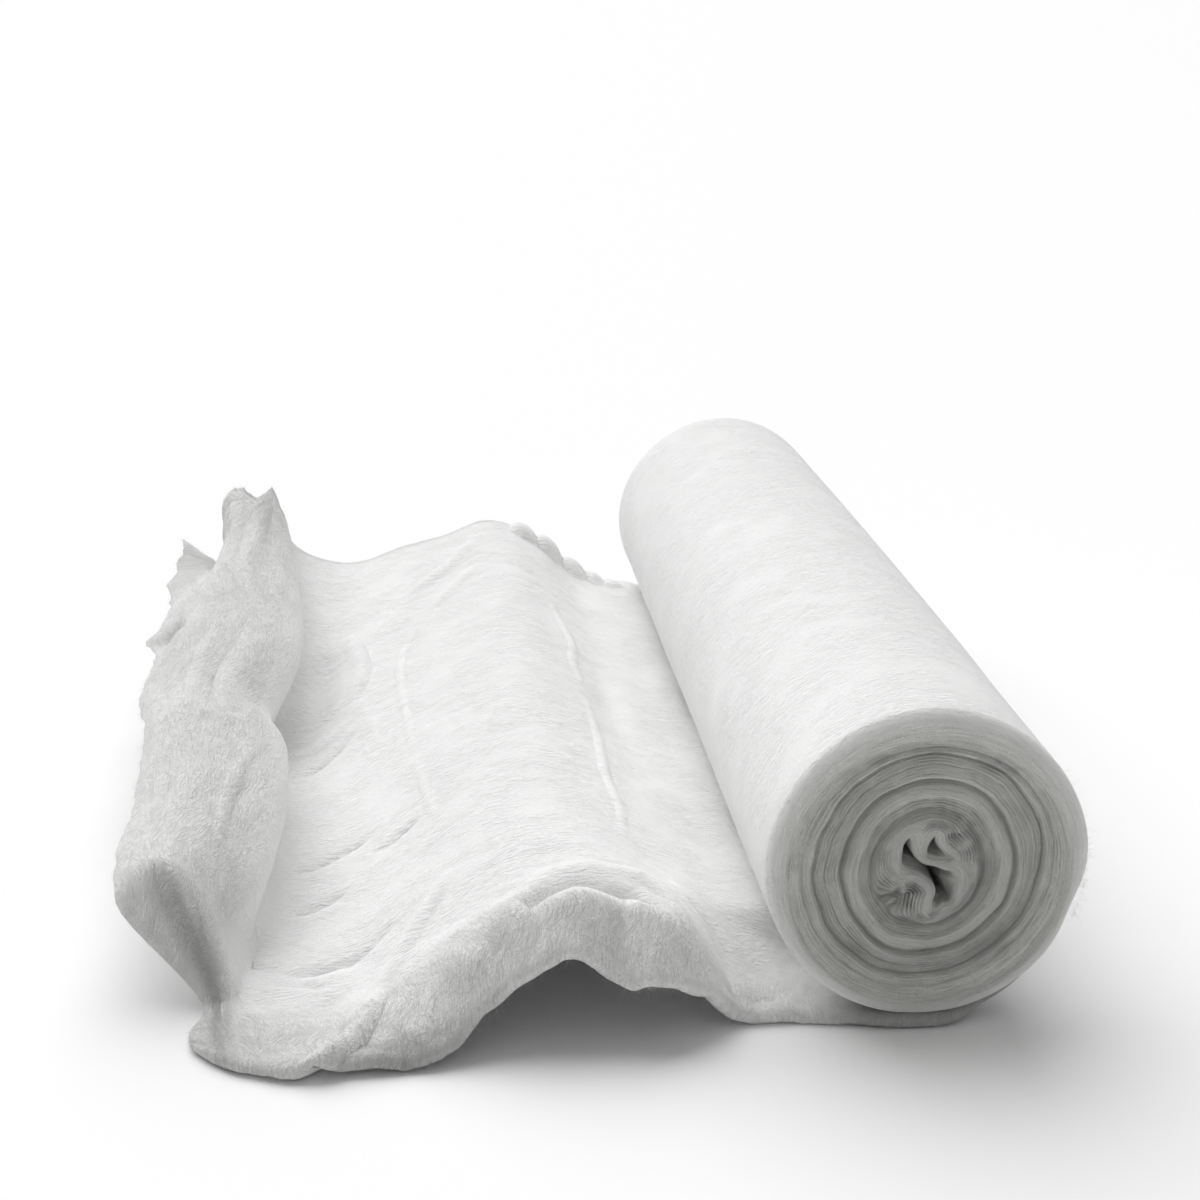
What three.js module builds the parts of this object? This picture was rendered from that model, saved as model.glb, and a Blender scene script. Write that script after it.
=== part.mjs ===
// A gamgee roll: soft cotton tissue, 450 mm wide, wound into a roll, with the last 300 mm or so
// pulled loose over a table. The loose end rises in a hump beside the roll, droops over its near
// edge and ends in a torn flap that curls up and leans back over the cloth.
// Millimetres, +Z up. The roll's axis runs along Y and the loose end lies towards -X.

import * as THREE from 'three';

// Driving dimensions
const CLOTH_WIDTH = 450;
const CLOTH_THICKNESS = 5;
const ROLL_RADIUS = 51.5;
const FLAT_SPOT_HALF_WIDTH = 12;
const GAP = 0.3;
const NEAR_SWELL = 2.2;
const FAR_SWELL = -0.8;

// Relief of the roll's two end faces
const RIM_WIDTH = 7;
const RIM_ROUNDING = 7;
const DISH_DEPTH = 3.5;
const TURN_PITCH = 9;
const TURN_GROOVE_DEPTH = 3;
const HOLLOW_DEPTH = 9;

// Steps of the surfaces
const CLOTH_STEPS_ALONG = 57;
const CLOTH_STEPS_ACROSS = 44;
const ROLL_STEPS_ROUND = 48;
const ROLL_STEPS_ALONG = 10;
const FACE_RINGS = 18;

const MIDDLE = CLOTH_THICKNESS / 2;
const HALF_WIDTH = CLOTH_WIDTH / 2;
const ROLL_BOTTOM = CLOTH_THICKNESS + GAP;
const ROLL_AXIS_HEIGHT = ROLL_BOTTOM + Math.sqrt(ROLL_RADIUS ** 2 - FLAT_SPOT_HALF_WIDTH ** 2);
const FULL_TURN = 2 * Math.PI;

// Stations across the cloth, from its near edge to its far edge. The first and the last one
// follow the edges, whose places are in the fold table.
const STATION_Y = ['near edge', -208, -190, -174, -166, -146, -100, 0, 110, 'far edge'];
const same = (value) => STATION_Y.map(() => value);

// A fold that still hugs the underside of the roll, so many degrees round from its lowest line.
function huggingFold(fold, degrees, thickness) {
  const angle = THREE.MathUtils.degToRad(degrees);
  const reach = ROLL_RADIUS + GAP + thickness / 2;
  const x = same(reach * Math.sin(angle));
  const z = same(ROLL_AXIS_HEIGHT - reach * Math.cos(angle));
  return { fold, near: -219, far: 224, thickness, x, z };
}

// The folds of the loose end, in order from the roll to the torn edge. near and far are the
// places along Y where a fold meets the two long edges; x and z place the middle of the cloth's
// thickness at each station.
const FOLDS = [
  huggingFold('start', 42, 1.6),
  huggingFold('curl', 31, 2.6),
  huggingFold('turn', 21, 4),
  { fold: 'foot right', near: -224, far: 224, thickness: 5, x: same(10), z: same(MIDDLE) },
  { fold: 'foot left', near: -224, far: 224, thickness: 5, x: same(-12), z: same(MIDDLE) },
  { fold: 'leaving', near: -221, far: 224, thickness: 5, x: same(-26),
    z: [2.5, 4, 4.8, 5, 5, 5, 5, 5.2, 5.4, 5.6] },
  { fold: 'beside the roll', near: -218, far: 224, thickness: 5, x: same(-42),
    z: [3, 11, 13, 14, 14.5, 15, 15, 15.5, 16, 17] },
  { fold: 'valley', near: -221, far: 224, thickness: 5, x: same(-60),
    z: [9, 20, 20, 19.5, 19, 19, 19, 20, 21, 21.5] },
  { fold: 'right flank', near: -226, far: 225, thickness: 5, x: same(-78),
    z: [18.5, 32, 31, 30, 29, 28, 28, 28, 28.5, 29] },
  { fold: 'right shoulder', near: -226, far: 225, thickness: 5, x: same(-98),
    z: [21.5, 41, 41, 40.5, 40, 39, 39, 40, 42.5, 45.5] },
  { fold: 'crest', near: -226, far: 226, thickness: 5, x: same(-118),
    z: [29.5, 42, 43, 43.5, 44, 44, 45, 47, 50, 53] },
  { fold: 'left shoulder', near: -227, far: 225, thickness: 5, x: same(-138),
    z: [17, 34, 36, 37, 38, 39, 40, 42, 44.5, 46.5] },
  { fold: 'slope', near: -236, far: 225, thickness: 5, x: same(-159),
    z: [3, 20, 23, 24, 25, 26, 28, 32, 36, 41] },
  { fold: 'trough', near: -238, far: 225, thickness: 5, x: same(-184),
    z: [2.5, 3.5, 6, 7.5, 9, 10, 13, 20, 27, 33] },
  { fold: 'base', near: -240, far: 224, thickness: 5,
    x: [-204, -211, -217, -219, -219, -214, -210, -211, -209, -206],
    z: [2.5, 2.5, 2.5, 2.5, 3.5, 5, 9, 15, 27, 37] },
  { fold: 'tuck', near: -238, far: 224, thickness: 4.5,
    x: [-210, -216, -221, -224, -222, -220, -218, -220, -217, -211],
    z: [2.5, 2.5, 2.5, 2.5, 5, 12, 16, 22, 34, 43] },
  { fold: 'bulge', near: -235, far: 225, thickness: 4.5,
    x: [-216, -221, -224, -228, -226, -217, -210, -213, -211, -219],
    z: [2.5, 2.5, 2.5, 4, 9, 27, 34, 40, 48, 51] },
  { fold: 'crown', near: -233, far: 227, thickness: 4.5,
    x: [-221, -225, -227, -235, -235, -229, -223, -227, -224, -227],
    z: [2.5, 2.5, 2.5, 10, 25, 36, 44, 51, 59, 70] },
  { fold: 'shoulder', near: -229, far: 233, thickness: 4.5,
    x: [-226, -229, -230, -243, -246, -244, -242, -247, -246, -245],
    z: [2.5, 2.5, 3, 18, 41, 45, 50, 55, 61, 69] },
  { fold: 'notch', near: -224, far: 176, thickness: 4,
    x: [-231, -233, -232, -251, -256, -257, -256, -260, -262, -250],
    z: [2.5, 2.5, 3, 24, 40, 43, 46, 50, 54, 45] },
  { fold: 'torn edge', near: -217, far: 224, thickness: 2.5,
    x: [-236, -237, -234, -259, -263, -265, -263, -267, -272, -272],
    z: [2, 2, 3, 28, 34, 37, 39, 42, 45, 50] },
];

// Smaller creases on the open cloth and the flap, each a soft ridge along a line of places on the
// table, or a trough where its height is below 0.
const CREASES = [
  { crease: 'pocket behind the near edge', height: -4, width: 7,
    line: [[-126, -190], [-104, -184], [-86, -176], [-66, -160]] },
  { crease: 'long left crease', height: 1.6, width: 6,
    line: [[-152, 104], [-160, 68], [-159, 30], [-155, -10], [-152, -66]] },
  { crease: 'long right crease', height: 1.8, width: 6,
    line: [[-92, 122], [-86, 50], [-89, 26], [-82, -5], [-80, -98], [-80, -148]] },
  { crease: 'pucker', height: 2.6, width: 8,
    line: [[-187, 128], [-179, 96], [-180, 66], [-186, 36]] },
  { crease: 'low cross fold', height: -2, width: 8,
    line: [[-206, -102], [-190, -96], [-160, -84]] },
  { crease: 'far diagonal fold', height: 2, width: 8,
    line: [[-156, 142], [-138, 172], [-122, 204]] },
  { crease: 'groove in the flap', height: -5, width: 6,
    line: [[-222, 56], [-227, 4], [-231, -46]] },
  { crease: 'dimple in the flap', height: -6, width: 10,
    line: [[-262, 38], [-259, 62]] },
];

// Hollows between the crushed turns at the roll's core, seen on an end face: centre, half sizes
// and turn in degrees.
const CORE_HOLLOWS = [
  { hollow: 'left', x: -7, z: 7, wide: 3.4, high: 6.5, turn: 20 },
  { hollow: 'upper', x: 2, z: 9.5, wide: 3.2, high: 4, turn: -10 },
  { hollow: 'main', x: 4.5, z: -5, wide: 4.6, high: 8, turn: 28 },
];

function smoothStep(low, high, value) {
  return THREE.MathUtils.smoothstep(value, low, high);
}

function bump(distance, width) {
  return Math.exp(-((distance / width) ** 2));
}

function distanceToLine(point, line) {
  const closest = new THREE.Vector3();
  let least = Infinity;
  for (let i = 0; i + 1 < line.length; i += 1) {
    const start = new THREE.Vector3(...line[i], 0);
    const end = new THREE.Vector3(...line[i + 1], 0);
    new THREE.Line3(start, end).closestPointToPoint(point, true, closest);
    least = Math.min(least, closest.distanceTo(point));
  }
  return least;
}

function creaseHeight(x, y) {
  const place = new THREE.Vector3(x, y, 0);
  const rise = ({ height, width, line }) => height * bump(distanceToLine(place, line), width);
  return CREASES.reduce((sum, crease) => sum + rise(crease), 0);
}

function foldPoint(fold, station) {
  const edges = { 0: fold.near, [STATION_Y.length - 1]: fold.far };
  return new THREE.Vector3(fold.x[station], edges[station] ?? STATION_Y[station], fold.z[station]);
}

// The middle of the cloth's thickness, as rows of points: one row for each step across the cloth.
function middleSurface() {
  const foldCurves = FOLDS.map((fold) => (
    new THREE.CatmullRomCurve3(STATION_Y.map((_, station) => foldPoint(fold, station)))
  ));
  const rows = [];
  for (let j = 0; j <= CLOTH_STEPS_ACROSS; j += 1) {
    const section = new THREE.CatmullRomCurve3(
      foldCurves.map((curve) => curve.getPoint(j / CLOTH_STEPS_ACROSS)),
    );
    rows.push(section.getPoints(CLOTH_STEPS_ALONG));
  }
  for (const point of rows.flat()) {
    point.z = Math.max(point.z + creaseHeight(point.x, point.y), MIDDLE);
  }
  return rows;
}

function clothThickness(i) {
  const place = (i / CLOTH_STEPS_ALONG) * (FOLDS.length - 1);
  const before = Math.min(Math.floor(place), FOLDS.length - 2);
  return THREE.MathUtils.lerp(
    FOLDS[before].thickness,
    FOLDS[before + 1].thickness,
    place - before,
  );
}

function surfaceNormal(rows, j, i) {
  const lastRow = rows.length - 1;
  const lastStep = rows[0].length - 1;
  const across = rows[Math.min(j + 1, lastRow)][i].clone().sub(rows[Math.max(j - 1, 0)][i]);
  const along = rows[j][Math.min(i + 1, lastStep)].clone().sub(rows[j][Math.max(i - 1, 0)]);
  return across.cross(along).normalize();
}

function geometryFrom(points, triangles) {
  const geometry = new THREE.BufferGeometry().setFromPoints(points);
  geometry.setIndex(triangles);
  geometry.computeVertexNormals();
  return geometry;
}

// The loose end: the middle surface thickened by half the cloth to each side. What comes within
// SETTLE of the table lies flat on it.
function looseEndGeometry() {
  const SETTLE = 0.6;
  const rows = middleSurface();
  const top = [];
  const bottom = [];
  rows.forEach((row, j) => row.forEach((middle, i) => {
    const half = surfaceNormal(rows, j, i).multiplyScalar(clothThickness(i) / 2);
    const under = middle.clone().sub(half);
    under.z = under.z < SETTLE ? 0 : under.z;
    top.push(middle.clone().add(half));
    bottom.push(under);
  }));

  const perRow = CLOTH_STEPS_ALONG + 1;
  const upper = (j, i) => j * perRow + i;
  const lower = (j, i) => top.length + j * perRow + i;
  const triangles = [];
  const face = (a, b, c, d) => triangles.push(a, b, c, a, c, d);
  for (let j = 0; j < CLOTH_STEPS_ACROSS; j += 1) {
    for (let i = 0; i < CLOTH_STEPS_ALONG; i += 1) {
      face(upper(j, i), upper(j + 1, i), upper(j + 1, i + 1), upper(j, i + 1));
      face(lower(j, i), lower(j, i + 1), lower(j + 1, i + 1), lower(j + 1, i));
    }
    face(lower(j, 0), lower(j + 1, 0), upper(j + 1, 0), upper(j, 0));
    const end = CLOTH_STEPS_ALONG;
    face(upper(j, end), upper(j + 1, end), lower(j + 1, end), lower(j, end));
  }
  for (let i = 0; i < CLOTH_STEPS_ALONG; i += 1) {
    face(upper(0, i), upper(0, i + 1), lower(0, i + 1), lower(0, i));
    const end = CLOTH_STEPS_ACROSS;
    face(lower(end, i), lower(end, i + 1), upper(end, i + 1), upper(end, i));
  }
  return geometryFrom([...top, ...bottom], triangles);
}

// How far the winding stands out from a true cylinder, soft and fading out where the roll bears
// on the cloth: a slow wander round it, and a looser wind at its near end than at its far end.
function windingWander(angle, y) {
  const free = smoothStep(-0.55, 0.3, Math.sin(angle));
  return free * (0.5 * Math.sin(2 * angle + y / 150) + 0.4 * Math.sin(3 * angle - y / 90));
}

function windingSwell(angle, y) {
  const free = smoothStep(-0.5, 0.3, Math.sin(angle));
  return free * THREE.MathUtils.mapLinear(y, -HALF_WIDTH, HALF_WIDTH, NEAR_SWELL, FAR_SWELL);
}

function hollowDepth(x, z) {
  const depth = (hollow) => {
    const turn = THREE.MathUtils.degToRad(hollow.turn);
    const away = new THREE.Vector2(x - hollow.x, z - hollow.z)
      .rotateAround(new THREE.Vector2(), -turn);
    return HOLLOW_DEPTH * bump(Math.hypot(away.x / hollow.wide, away.y / hollow.high), 1);
  };
  return Math.max(...CORE_HOLLOWS.map(depth));
}

// How far an end face lies in from the roll's end: a raised soft rim, a shallow dish, one groove
// that winds inwards between the turns, and the hollows of the core.
function faceDepth(radius, angle) {
  const rim = 2 * smoothStep(ROLL_RADIUS - 3, ROLL_RADIUS, radius);
  const rimStart = ROLL_RADIUS - RIM_WIDTH;
  const dish = DISH_DEPTH * (1 - smoothStep(rimStart - RIM_WIDTH, rimStart, radius));
  const turns = (rimStart - radius) / TURN_PITCH + angle / FULL_TURN;
  const fromGroove = Math.abs(turns - Math.round(turns)) * TURN_PITCH;
  const inTurns = 1 - smoothStep(rimStart, ROLL_RADIUS - 3, radius);
  const groove = TURN_GROOVE_DEPTH * inTurns * smoothStep(10, 16, radius) * bump(fromGroove, 1.8);
  const hollows = hollowDepth(radius * Math.cos(angle), radius * Math.sin(angle));
  return rim + dish + groove + hollows;
}

// The wound roll: rings of points from the near face's middle, out to its rim, along the roll
// and back to the far face's middle.
function woundRollGeometry() {
  const points = [];
  const triangles = [];
  const rings = [];
  const addPoint = (radius, angle, y) => {
    const lift = ROLL_AXIS_HEIGHT + radius * Math.sin(angle);
    points.push(new THREE.Vector3(radius * Math.cos(angle), y, Math.max(lift, ROLL_BOTTOM)));
    return points.length - 1;
  };
  const addRing = (place) => {
    const ring = [];
    for (let k = 0; k < ROLL_STEPS_ROUND; k += 1) {
      const angle = (k / ROLL_STEPS_ROUND) * FULL_TURN - Math.PI / 2;
      ring.push(place(angle));
    }
    rings.push(ring);
  };
  const addFaceRing = (share, side) => addRing((angle) => {
    const radius = share * (ROLL_RADIUS + windingWander(angle, side * HALF_WIDTH));
    return addPoint(radius, angle, side * (HALF_WIDTH - faceDepth(share * ROLL_RADIUS, angle)));
  });

  const nearMiddle = addPoint(0, 0, -HALF_WIDTH + faceDepth(0, 0));
  for (let n = 1; n <= FACE_RINGS; n += 1) {
    addFaceRing(n / FACE_RINGS, -1);
  }
  for (let n = 0; n <= ROLL_STEPS_ALONG; n += 1) {
    const y = (HALF_WIDTH - RIM_ROUNDING) * ((2 * n) / ROLL_STEPS_ALONG - 1);
    addRing((angle) => (
      addPoint(ROLL_RADIUS + windingWander(angle, y) + windingSwell(angle, y), angle, y)
    ));
  }
  for (let n = FACE_RINGS; n >= 1; n -= 1) {
    addFaceRing(n / FACE_RINGS, 1);
  }
  const farMiddle = addPoint(0, 0, HALF_WIDTH - faceDepth(0, 0));

  for (let k = 0; k < ROLL_STEPS_ROUND; k += 1) {
    const next = (k + 1) % ROLL_STEPS_ROUND;
    triangles.push(nearMiddle, rings[0][k], rings[0][next]);
    triangles.push(farMiddle, rings.at(-1)[next], rings.at(-1)[k]);
    for (let n = 0; n + 1 < rings.length; n += 1) {
      const [inner, outer] = [rings[n], rings[n + 1]];
      triangles.push(inner[k], outer[k], outer[next], inner[k], outer[next], inner[next]);
    }
  }
  return geometryFrom(points, triangles);
}

function tissueMaterial(color) {
  return new THREE.MeshStandardMaterial({ color, roughness: 0.95, metalness: 0 });
}

const woundRoll = new THREE.Mesh(woundRollGeometry(), tissueMaterial(0xefefec));
woundRoll.name = 'wound_roll';

const looseEnd = new THREE.Mesh(looseEndGeometry(), tissueMaterial(0xf4f4f1));
looseEnd.name = 'loose_end';

// The whole stands on Z = 0 with its footprint centred on the origin.
const gamgeeRoll = new THREE.Group();
gamgeeRoll.add(woundRoll, looseEnd);
const bounds = new THREE.Box3().setFromObject(gamgeeRoll);
const centre = bounds.getCenter(new THREE.Vector3());
gamgeeRoll.position.set(-centre.x, -centre.y, -bounds.min.z);

export default gamgeeRoll;
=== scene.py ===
"""A gamgee roll: soft cotton tissue wound into a wide roll, its loose end drawn out beside it over a
table, humped, drooping over its near edge and torn at the tip.

Shapes are worked out in millimetres in the roll's own frame: Y along the roll's axis, the loose end
towards -X, Z up from the table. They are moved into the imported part's frame, in metres, at the end.
"""

import bpy
import numpy as np
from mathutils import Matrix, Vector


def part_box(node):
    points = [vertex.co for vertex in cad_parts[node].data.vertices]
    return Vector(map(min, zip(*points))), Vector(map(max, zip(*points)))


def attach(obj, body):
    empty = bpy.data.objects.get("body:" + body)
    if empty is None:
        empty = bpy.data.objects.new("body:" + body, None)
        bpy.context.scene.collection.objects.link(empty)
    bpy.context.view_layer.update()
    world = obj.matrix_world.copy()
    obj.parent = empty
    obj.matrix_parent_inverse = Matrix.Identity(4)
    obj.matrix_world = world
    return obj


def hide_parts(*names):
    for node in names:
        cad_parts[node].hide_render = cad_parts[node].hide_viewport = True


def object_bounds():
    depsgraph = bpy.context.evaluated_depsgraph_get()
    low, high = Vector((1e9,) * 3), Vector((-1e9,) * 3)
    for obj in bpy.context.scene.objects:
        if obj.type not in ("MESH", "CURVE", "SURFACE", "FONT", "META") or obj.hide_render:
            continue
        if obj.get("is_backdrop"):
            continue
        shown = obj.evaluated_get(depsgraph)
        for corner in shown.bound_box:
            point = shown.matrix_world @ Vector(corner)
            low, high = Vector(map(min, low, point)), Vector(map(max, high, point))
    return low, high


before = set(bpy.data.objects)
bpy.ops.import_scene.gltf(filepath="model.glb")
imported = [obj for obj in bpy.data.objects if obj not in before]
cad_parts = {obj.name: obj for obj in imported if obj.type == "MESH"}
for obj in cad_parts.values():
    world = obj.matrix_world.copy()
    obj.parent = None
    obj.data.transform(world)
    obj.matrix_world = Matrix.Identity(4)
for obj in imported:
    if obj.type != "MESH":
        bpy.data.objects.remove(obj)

cad_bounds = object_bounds()

# Driving dimensions, the same as the solids' own
MM = 0.001
CLOTH_WIDTH = 450.0
CLOTH_THICKNESS = 5.0
FLAP_THICKNESS = 4.5
TORN_THICKNESS = 2.5
ROLL_RADIUS = 51.5
FLAT_SPOT_HALF_WIDTH = 12.0
GAP = 0.3
NEAR_SWELL = 2.2
FAR_SWELL = -0.8

HALF_WIDTH = CLOTH_WIDTH / 2
MIDDLE = CLOTH_THICKNESS / 2
ROLL_BOTTOM = CLOTH_THICKNESS + GAP
ROLL_AXIS_HEIGHT = ROLL_BOTTOM + np.sqrt(ROLL_RADIUS**2 - FLAT_SPOT_HALF_WIDTH**2)
FULL_TURN = 2 * np.pi

# The camera, in the roll's frame
CAMERA_PLACE = (-168.4, -854.8, 344.3)
CAMERA_PITCH = 17.1
CAMERA_YAW = -5.7
CAMERA_LENS = 66.0
CAMERA_SENSOR = 36.0

# Helpers for shapes


def smooth_step(low, high, value):
    """0 on low's side, 1 on high's, and a cubic ease between them. low may be the larger of the two."""
    t = np.clip((value - low) / (high - low), 0, 1)
    return t * t * (3 - 2 * t)


def bell(distance, width):
    """A soft bump: 1 at distance 0, falling as e to the minus square of distance over width."""
    return np.exp(-((distance / width) ** 2))


def through(points, places):
    """A centripetal Catmull-Rom curve through points, read at places counted in points. Each stretch
    is a cubic whose end slopes come from its neighbours, weighed by the root of their distances."""
    points = np.asarray(points, float)
    before = 2 * points[:1] - points[1:2]
    after = 2 * points[-1:] - points[-2:-1]
    knots = np.concatenate([before, points, after])
    start = np.clip(np.floor(places).astype(int), 0, len(points) - 2)
    t = (places - start).reshape((-1,) + (1,) * (points.ndim - 1))
    p0, p1, p2, p3 = (knots[start + k] for k in range(4))
    root = lambda a, b: np.maximum(np.linalg.norm(b - a, axis=-1, keepdims=True) ** 0.5, 1e-3)
    d0, d1, d2 = root(p0, p1), root(p1, p2), root(p2, p3)
    slope1 = ((p1 - p0) / d0 - (p2 - p0) / (d0 + d1) + (p2 - p1) / d1) * d1
    slope2 = ((p2 - p1) / d1 - (p3 - p1) / (d1 + d2) + (p3 - p2) / d2) * d1
    return (
        (2 * t**3 - 3 * t**2 + 1) * p1
        + (t**3 - 2 * t**2 + t) * slope1
        + (3 * t**2 - 2 * t**3) * p2
        + (t**3 - t**2) * slope2
    )


def drift(a, b, cell, seed):
    """Smooth random height from -1 to 1: random values on a square lattice of the given cell, eased
    between neighbours. cell is one size, or one for each direction."""
    cell_a, cell_b = (cell, cell) if np.isscalar(cell) else cell
    lattice = np.random.default_rng(seed).uniform(-1, 1, (97, 97))
    a, b = np.broadcast_arrays(np.asarray(a, float) / cell_a, np.asarray(b, float) / cell_b)
    i, j = np.floor(a).astype(int), np.floor(b).astype(int)
    s, t = smooth_step(0, 1, a - i), smooth_step(0, 1, b - j)
    value = lambda di, dj: lattice[(i + di) % 97, (j + dj) % 97]
    low = value(0, 0) * (1 - s) + value(1, 0) * s
    high = value(0, 1) * (1 - s) + value(1, 1) * s
    return low * (1 - t) + high * t


def layered(a, b, layers):
    """Drifts of several sizes added up. Each layer is its height, its cell and its seed."""
    return sum(height * drift(a, b, cell, seed) for height, cell, seed in layers)


def segment_distance(x, y, start, end):
    """Distance from each point to the segment from start to end."""
    (x0, y0), (x1, y1) = start, end
    run = np.clip(
        ((x - x0) * (x1 - x0) + (y - y0) * (y1 - y0)) / ((x1 - x0) ** 2 + (y1 - y0) ** 2), 0, 1
    )
    return np.hypot(x - x0 - run * (x1 - x0), y - y0 - run * (y1 - y0))


def line_bell(x, y, line, width):
    """A soft ridge of height 1 along a curve through the line's points, thinning out at its ends."""
    count = 6 * (len(line) - 1)
    places = np.linspace(0, len(line) - 1, count + 1)
    curve = through(np.array(line, float), places)
    taper = np.sin(np.linspace(0, np.pi, count)) ** 0.5
    ridges = [
        swell * bell(segment_distance(x, y, a, b), width)
        for swell, a, b in zip(taper, curve, curve[1:])
    ]
    return np.max(ridges, axis=0)


def outline_distance(x, y, outline):
    """Signed distance to a closed outline: below 0 inside, by the even-odd rule, and above outside."""
    ends = list(zip(outline, np.roll(outline, -1, axis=0)))
    away = np.min([segment_distance(x, y, a, b) for a, b in ends], axis=0)
    inside = np.zeros(np.shape(x), bool)
    for (x0, y0), (x1, y1) in ends:
        spans = (y0 > y) != (y1 > y)
        inside ^= spans & (x < x0 + (y - y0) * (x1 - x0) / (y1 - y0 + 1e-12))
    return np.where(inside, -away, away)


def rounded(outline, steps=6):
    """A closed outline's corners eased by a curve through them."""
    points = np.array(outline, float)
    wrapped = np.concatenate([points[-2:], points, points[:3]])
    places = 2 + np.arange(len(points) * steps) / steps
    return through(wrapped, places)


def surface_normals(grid):
    """Unit normals of a grid of points: the slope along its rows crossed with that along its columns."""
    normal = np.cross(np.gradient(grid, axis=1), np.gradient(grid, axis=0))
    return normal / np.maximum(np.linalg.norm(normal, axis=-1, keepdims=True), 1e-9)


def running_length(grid, axis):
    """Length run from the grid's first row or column, averaged over the other direction."""
    steps = np.linalg.norm(np.diff(grid, axis=axis), axis=-1).mean(axis=1 - axis)
    return np.concatenate([[0], np.cumsum(steps)])


def cloth_places(grid):
    """Each point's place on the flat cloth in mm: the length run down its column from the first row,
    and the length run along its row from the middle column."""
    down = np.linalg.norm(np.diff(grid, axis=0), axis=-1).cumsum(axis=0)
    along = np.linalg.norm(np.diff(grid, axis=1), axis=-1).cumsum(axis=1)
    down = np.concatenate([0 * down[:1], down])
    along = np.concatenate([0 * along[:, :1], along], axis=1)
    middle = grid.shape[1] // 2
    return np.stack([down, along - along[:, middle : middle + 1]], axis=-1)


# The roll's uneven winding puts the middle of its box this far to the right of its axis, in mm
BOX_OFF_AXIS = 0.19


def roll_place():
    """Where the roll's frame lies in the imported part's, in mm. The roll's two ends are 225 mm to each
    side of it."""
    low, high = (np.array(corner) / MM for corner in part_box("wound_roll"))
    middle = (low + high) / 2
    return np.array([middle[0] - BOX_OFF_AXIS, middle[1], 0.0])


PLACE = roll_place()


def mesh_piece(name, points, faces, corner_uv, material, **attributes):
    """A smooth mesh object at the origin. points are in mm in the roll's frame, faces are rows of 4
    corners whose last two are equal in a triangle, corner_uv gives each corner's place on the cloth in
    mm, and each attribute is one value a point."""
    faces = np.asarray(faces)
    corner_uv = np.asarray(corner_uv, float).reshape(len(faces), 4, 2)
    keep = np.ones(faces.shape, bool)
    keep[:, 3] = faces[:, 3] != faces[:, 2]
    sizes = keep.sum(axis=1)
    starts = np.concatenate([[0], np.cumsum(sizes)[:-1]])
    mesh = bpy.data.meshes.new(name)
    mesh.vertices.add(len(points))
    mesh.vertices.foreach_set("co", ((points + PLACE) * MM).astype(np.float32).ravel())
    mesh.loops.add(int(sizes.sum()))
    mesh.loops.foreach_set("vertex_index", faces[keep].astype(np.int32))
    mesh.polygons.add(len(faces))
    mesh.polygons.foreach_set("loop_start", starts.astype(np.int32))
    mesh.polygons.foreach_set("use_smooth", np.ones(len(faces), bool))
    mesh.update(calc_edges=True)
    layer = mesh.uv_layers.new(name="cloth")
    layer.data.foreach_set("uv", (corner_uv[keep] * MM).astype(np.float32).ravel())
    for key, values in attributes.items():
        stored = mesh.attributes.new(key, "FLOAT", "POINT")
        stored.data.foreach_set("value", np.asarray(values, np.float32).ravel())
    mesh.validate()
    mesh.materials.append(material)
    piece = bpy.data.objects.new(name, mesh)
    bpy.context.scene.collection.objects.link(piece)
    return piece


# The loose end

# Stations across the cloth, from its near edge to its far edge. The first and the last follow the
# edges, whose places are in the fold table.
MAIN_STATION_Y = [None, -208, -190, -174, -166, -146, -100, 0, 110, None]
STATION_Y = [None, -208, -190, -174, -166, -146, -100, -45, 0, 55, 110, 165, None]
STATIONS = len(STATION_Y)


def fold(near, far, x, z, thickness=CLOTH_THICKNESS):
    """One fold of the cloth: its middle at each station, and the cloth's thickness along it. Values
    given at the main stations alone are shared out evenly between them."""
    y = np.array([near, *STATION_Y[1:-1], far], float)
    main_y = [near, *MAIN_STATION_Y[1:-1], far]

    def spread(value):
        if np.isscalar(value):
            return np.full(STATIONS, float(value))
        return np.array(value, float) if len(value) == STATIONS else np.interp(y, main_y, value)

    return {"thickness": thickness, "points": np.array([spread(x), y, spread(z)]).T}


def hugging_fold(degrees, thickness):
    """A fold that hugs the roll's underside, so many degrees round from its lowest line."""
    reach = ROLL_RADIUS + GAP + thickness / 2
    angle = np.radians(degrees)
    x, z = reach * np.sin(angle), ROLL_AXIS_HEIGHT - reach * np.cos(angle)
    return fold(-219, 224, float(x), float(z), thickness)


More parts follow.
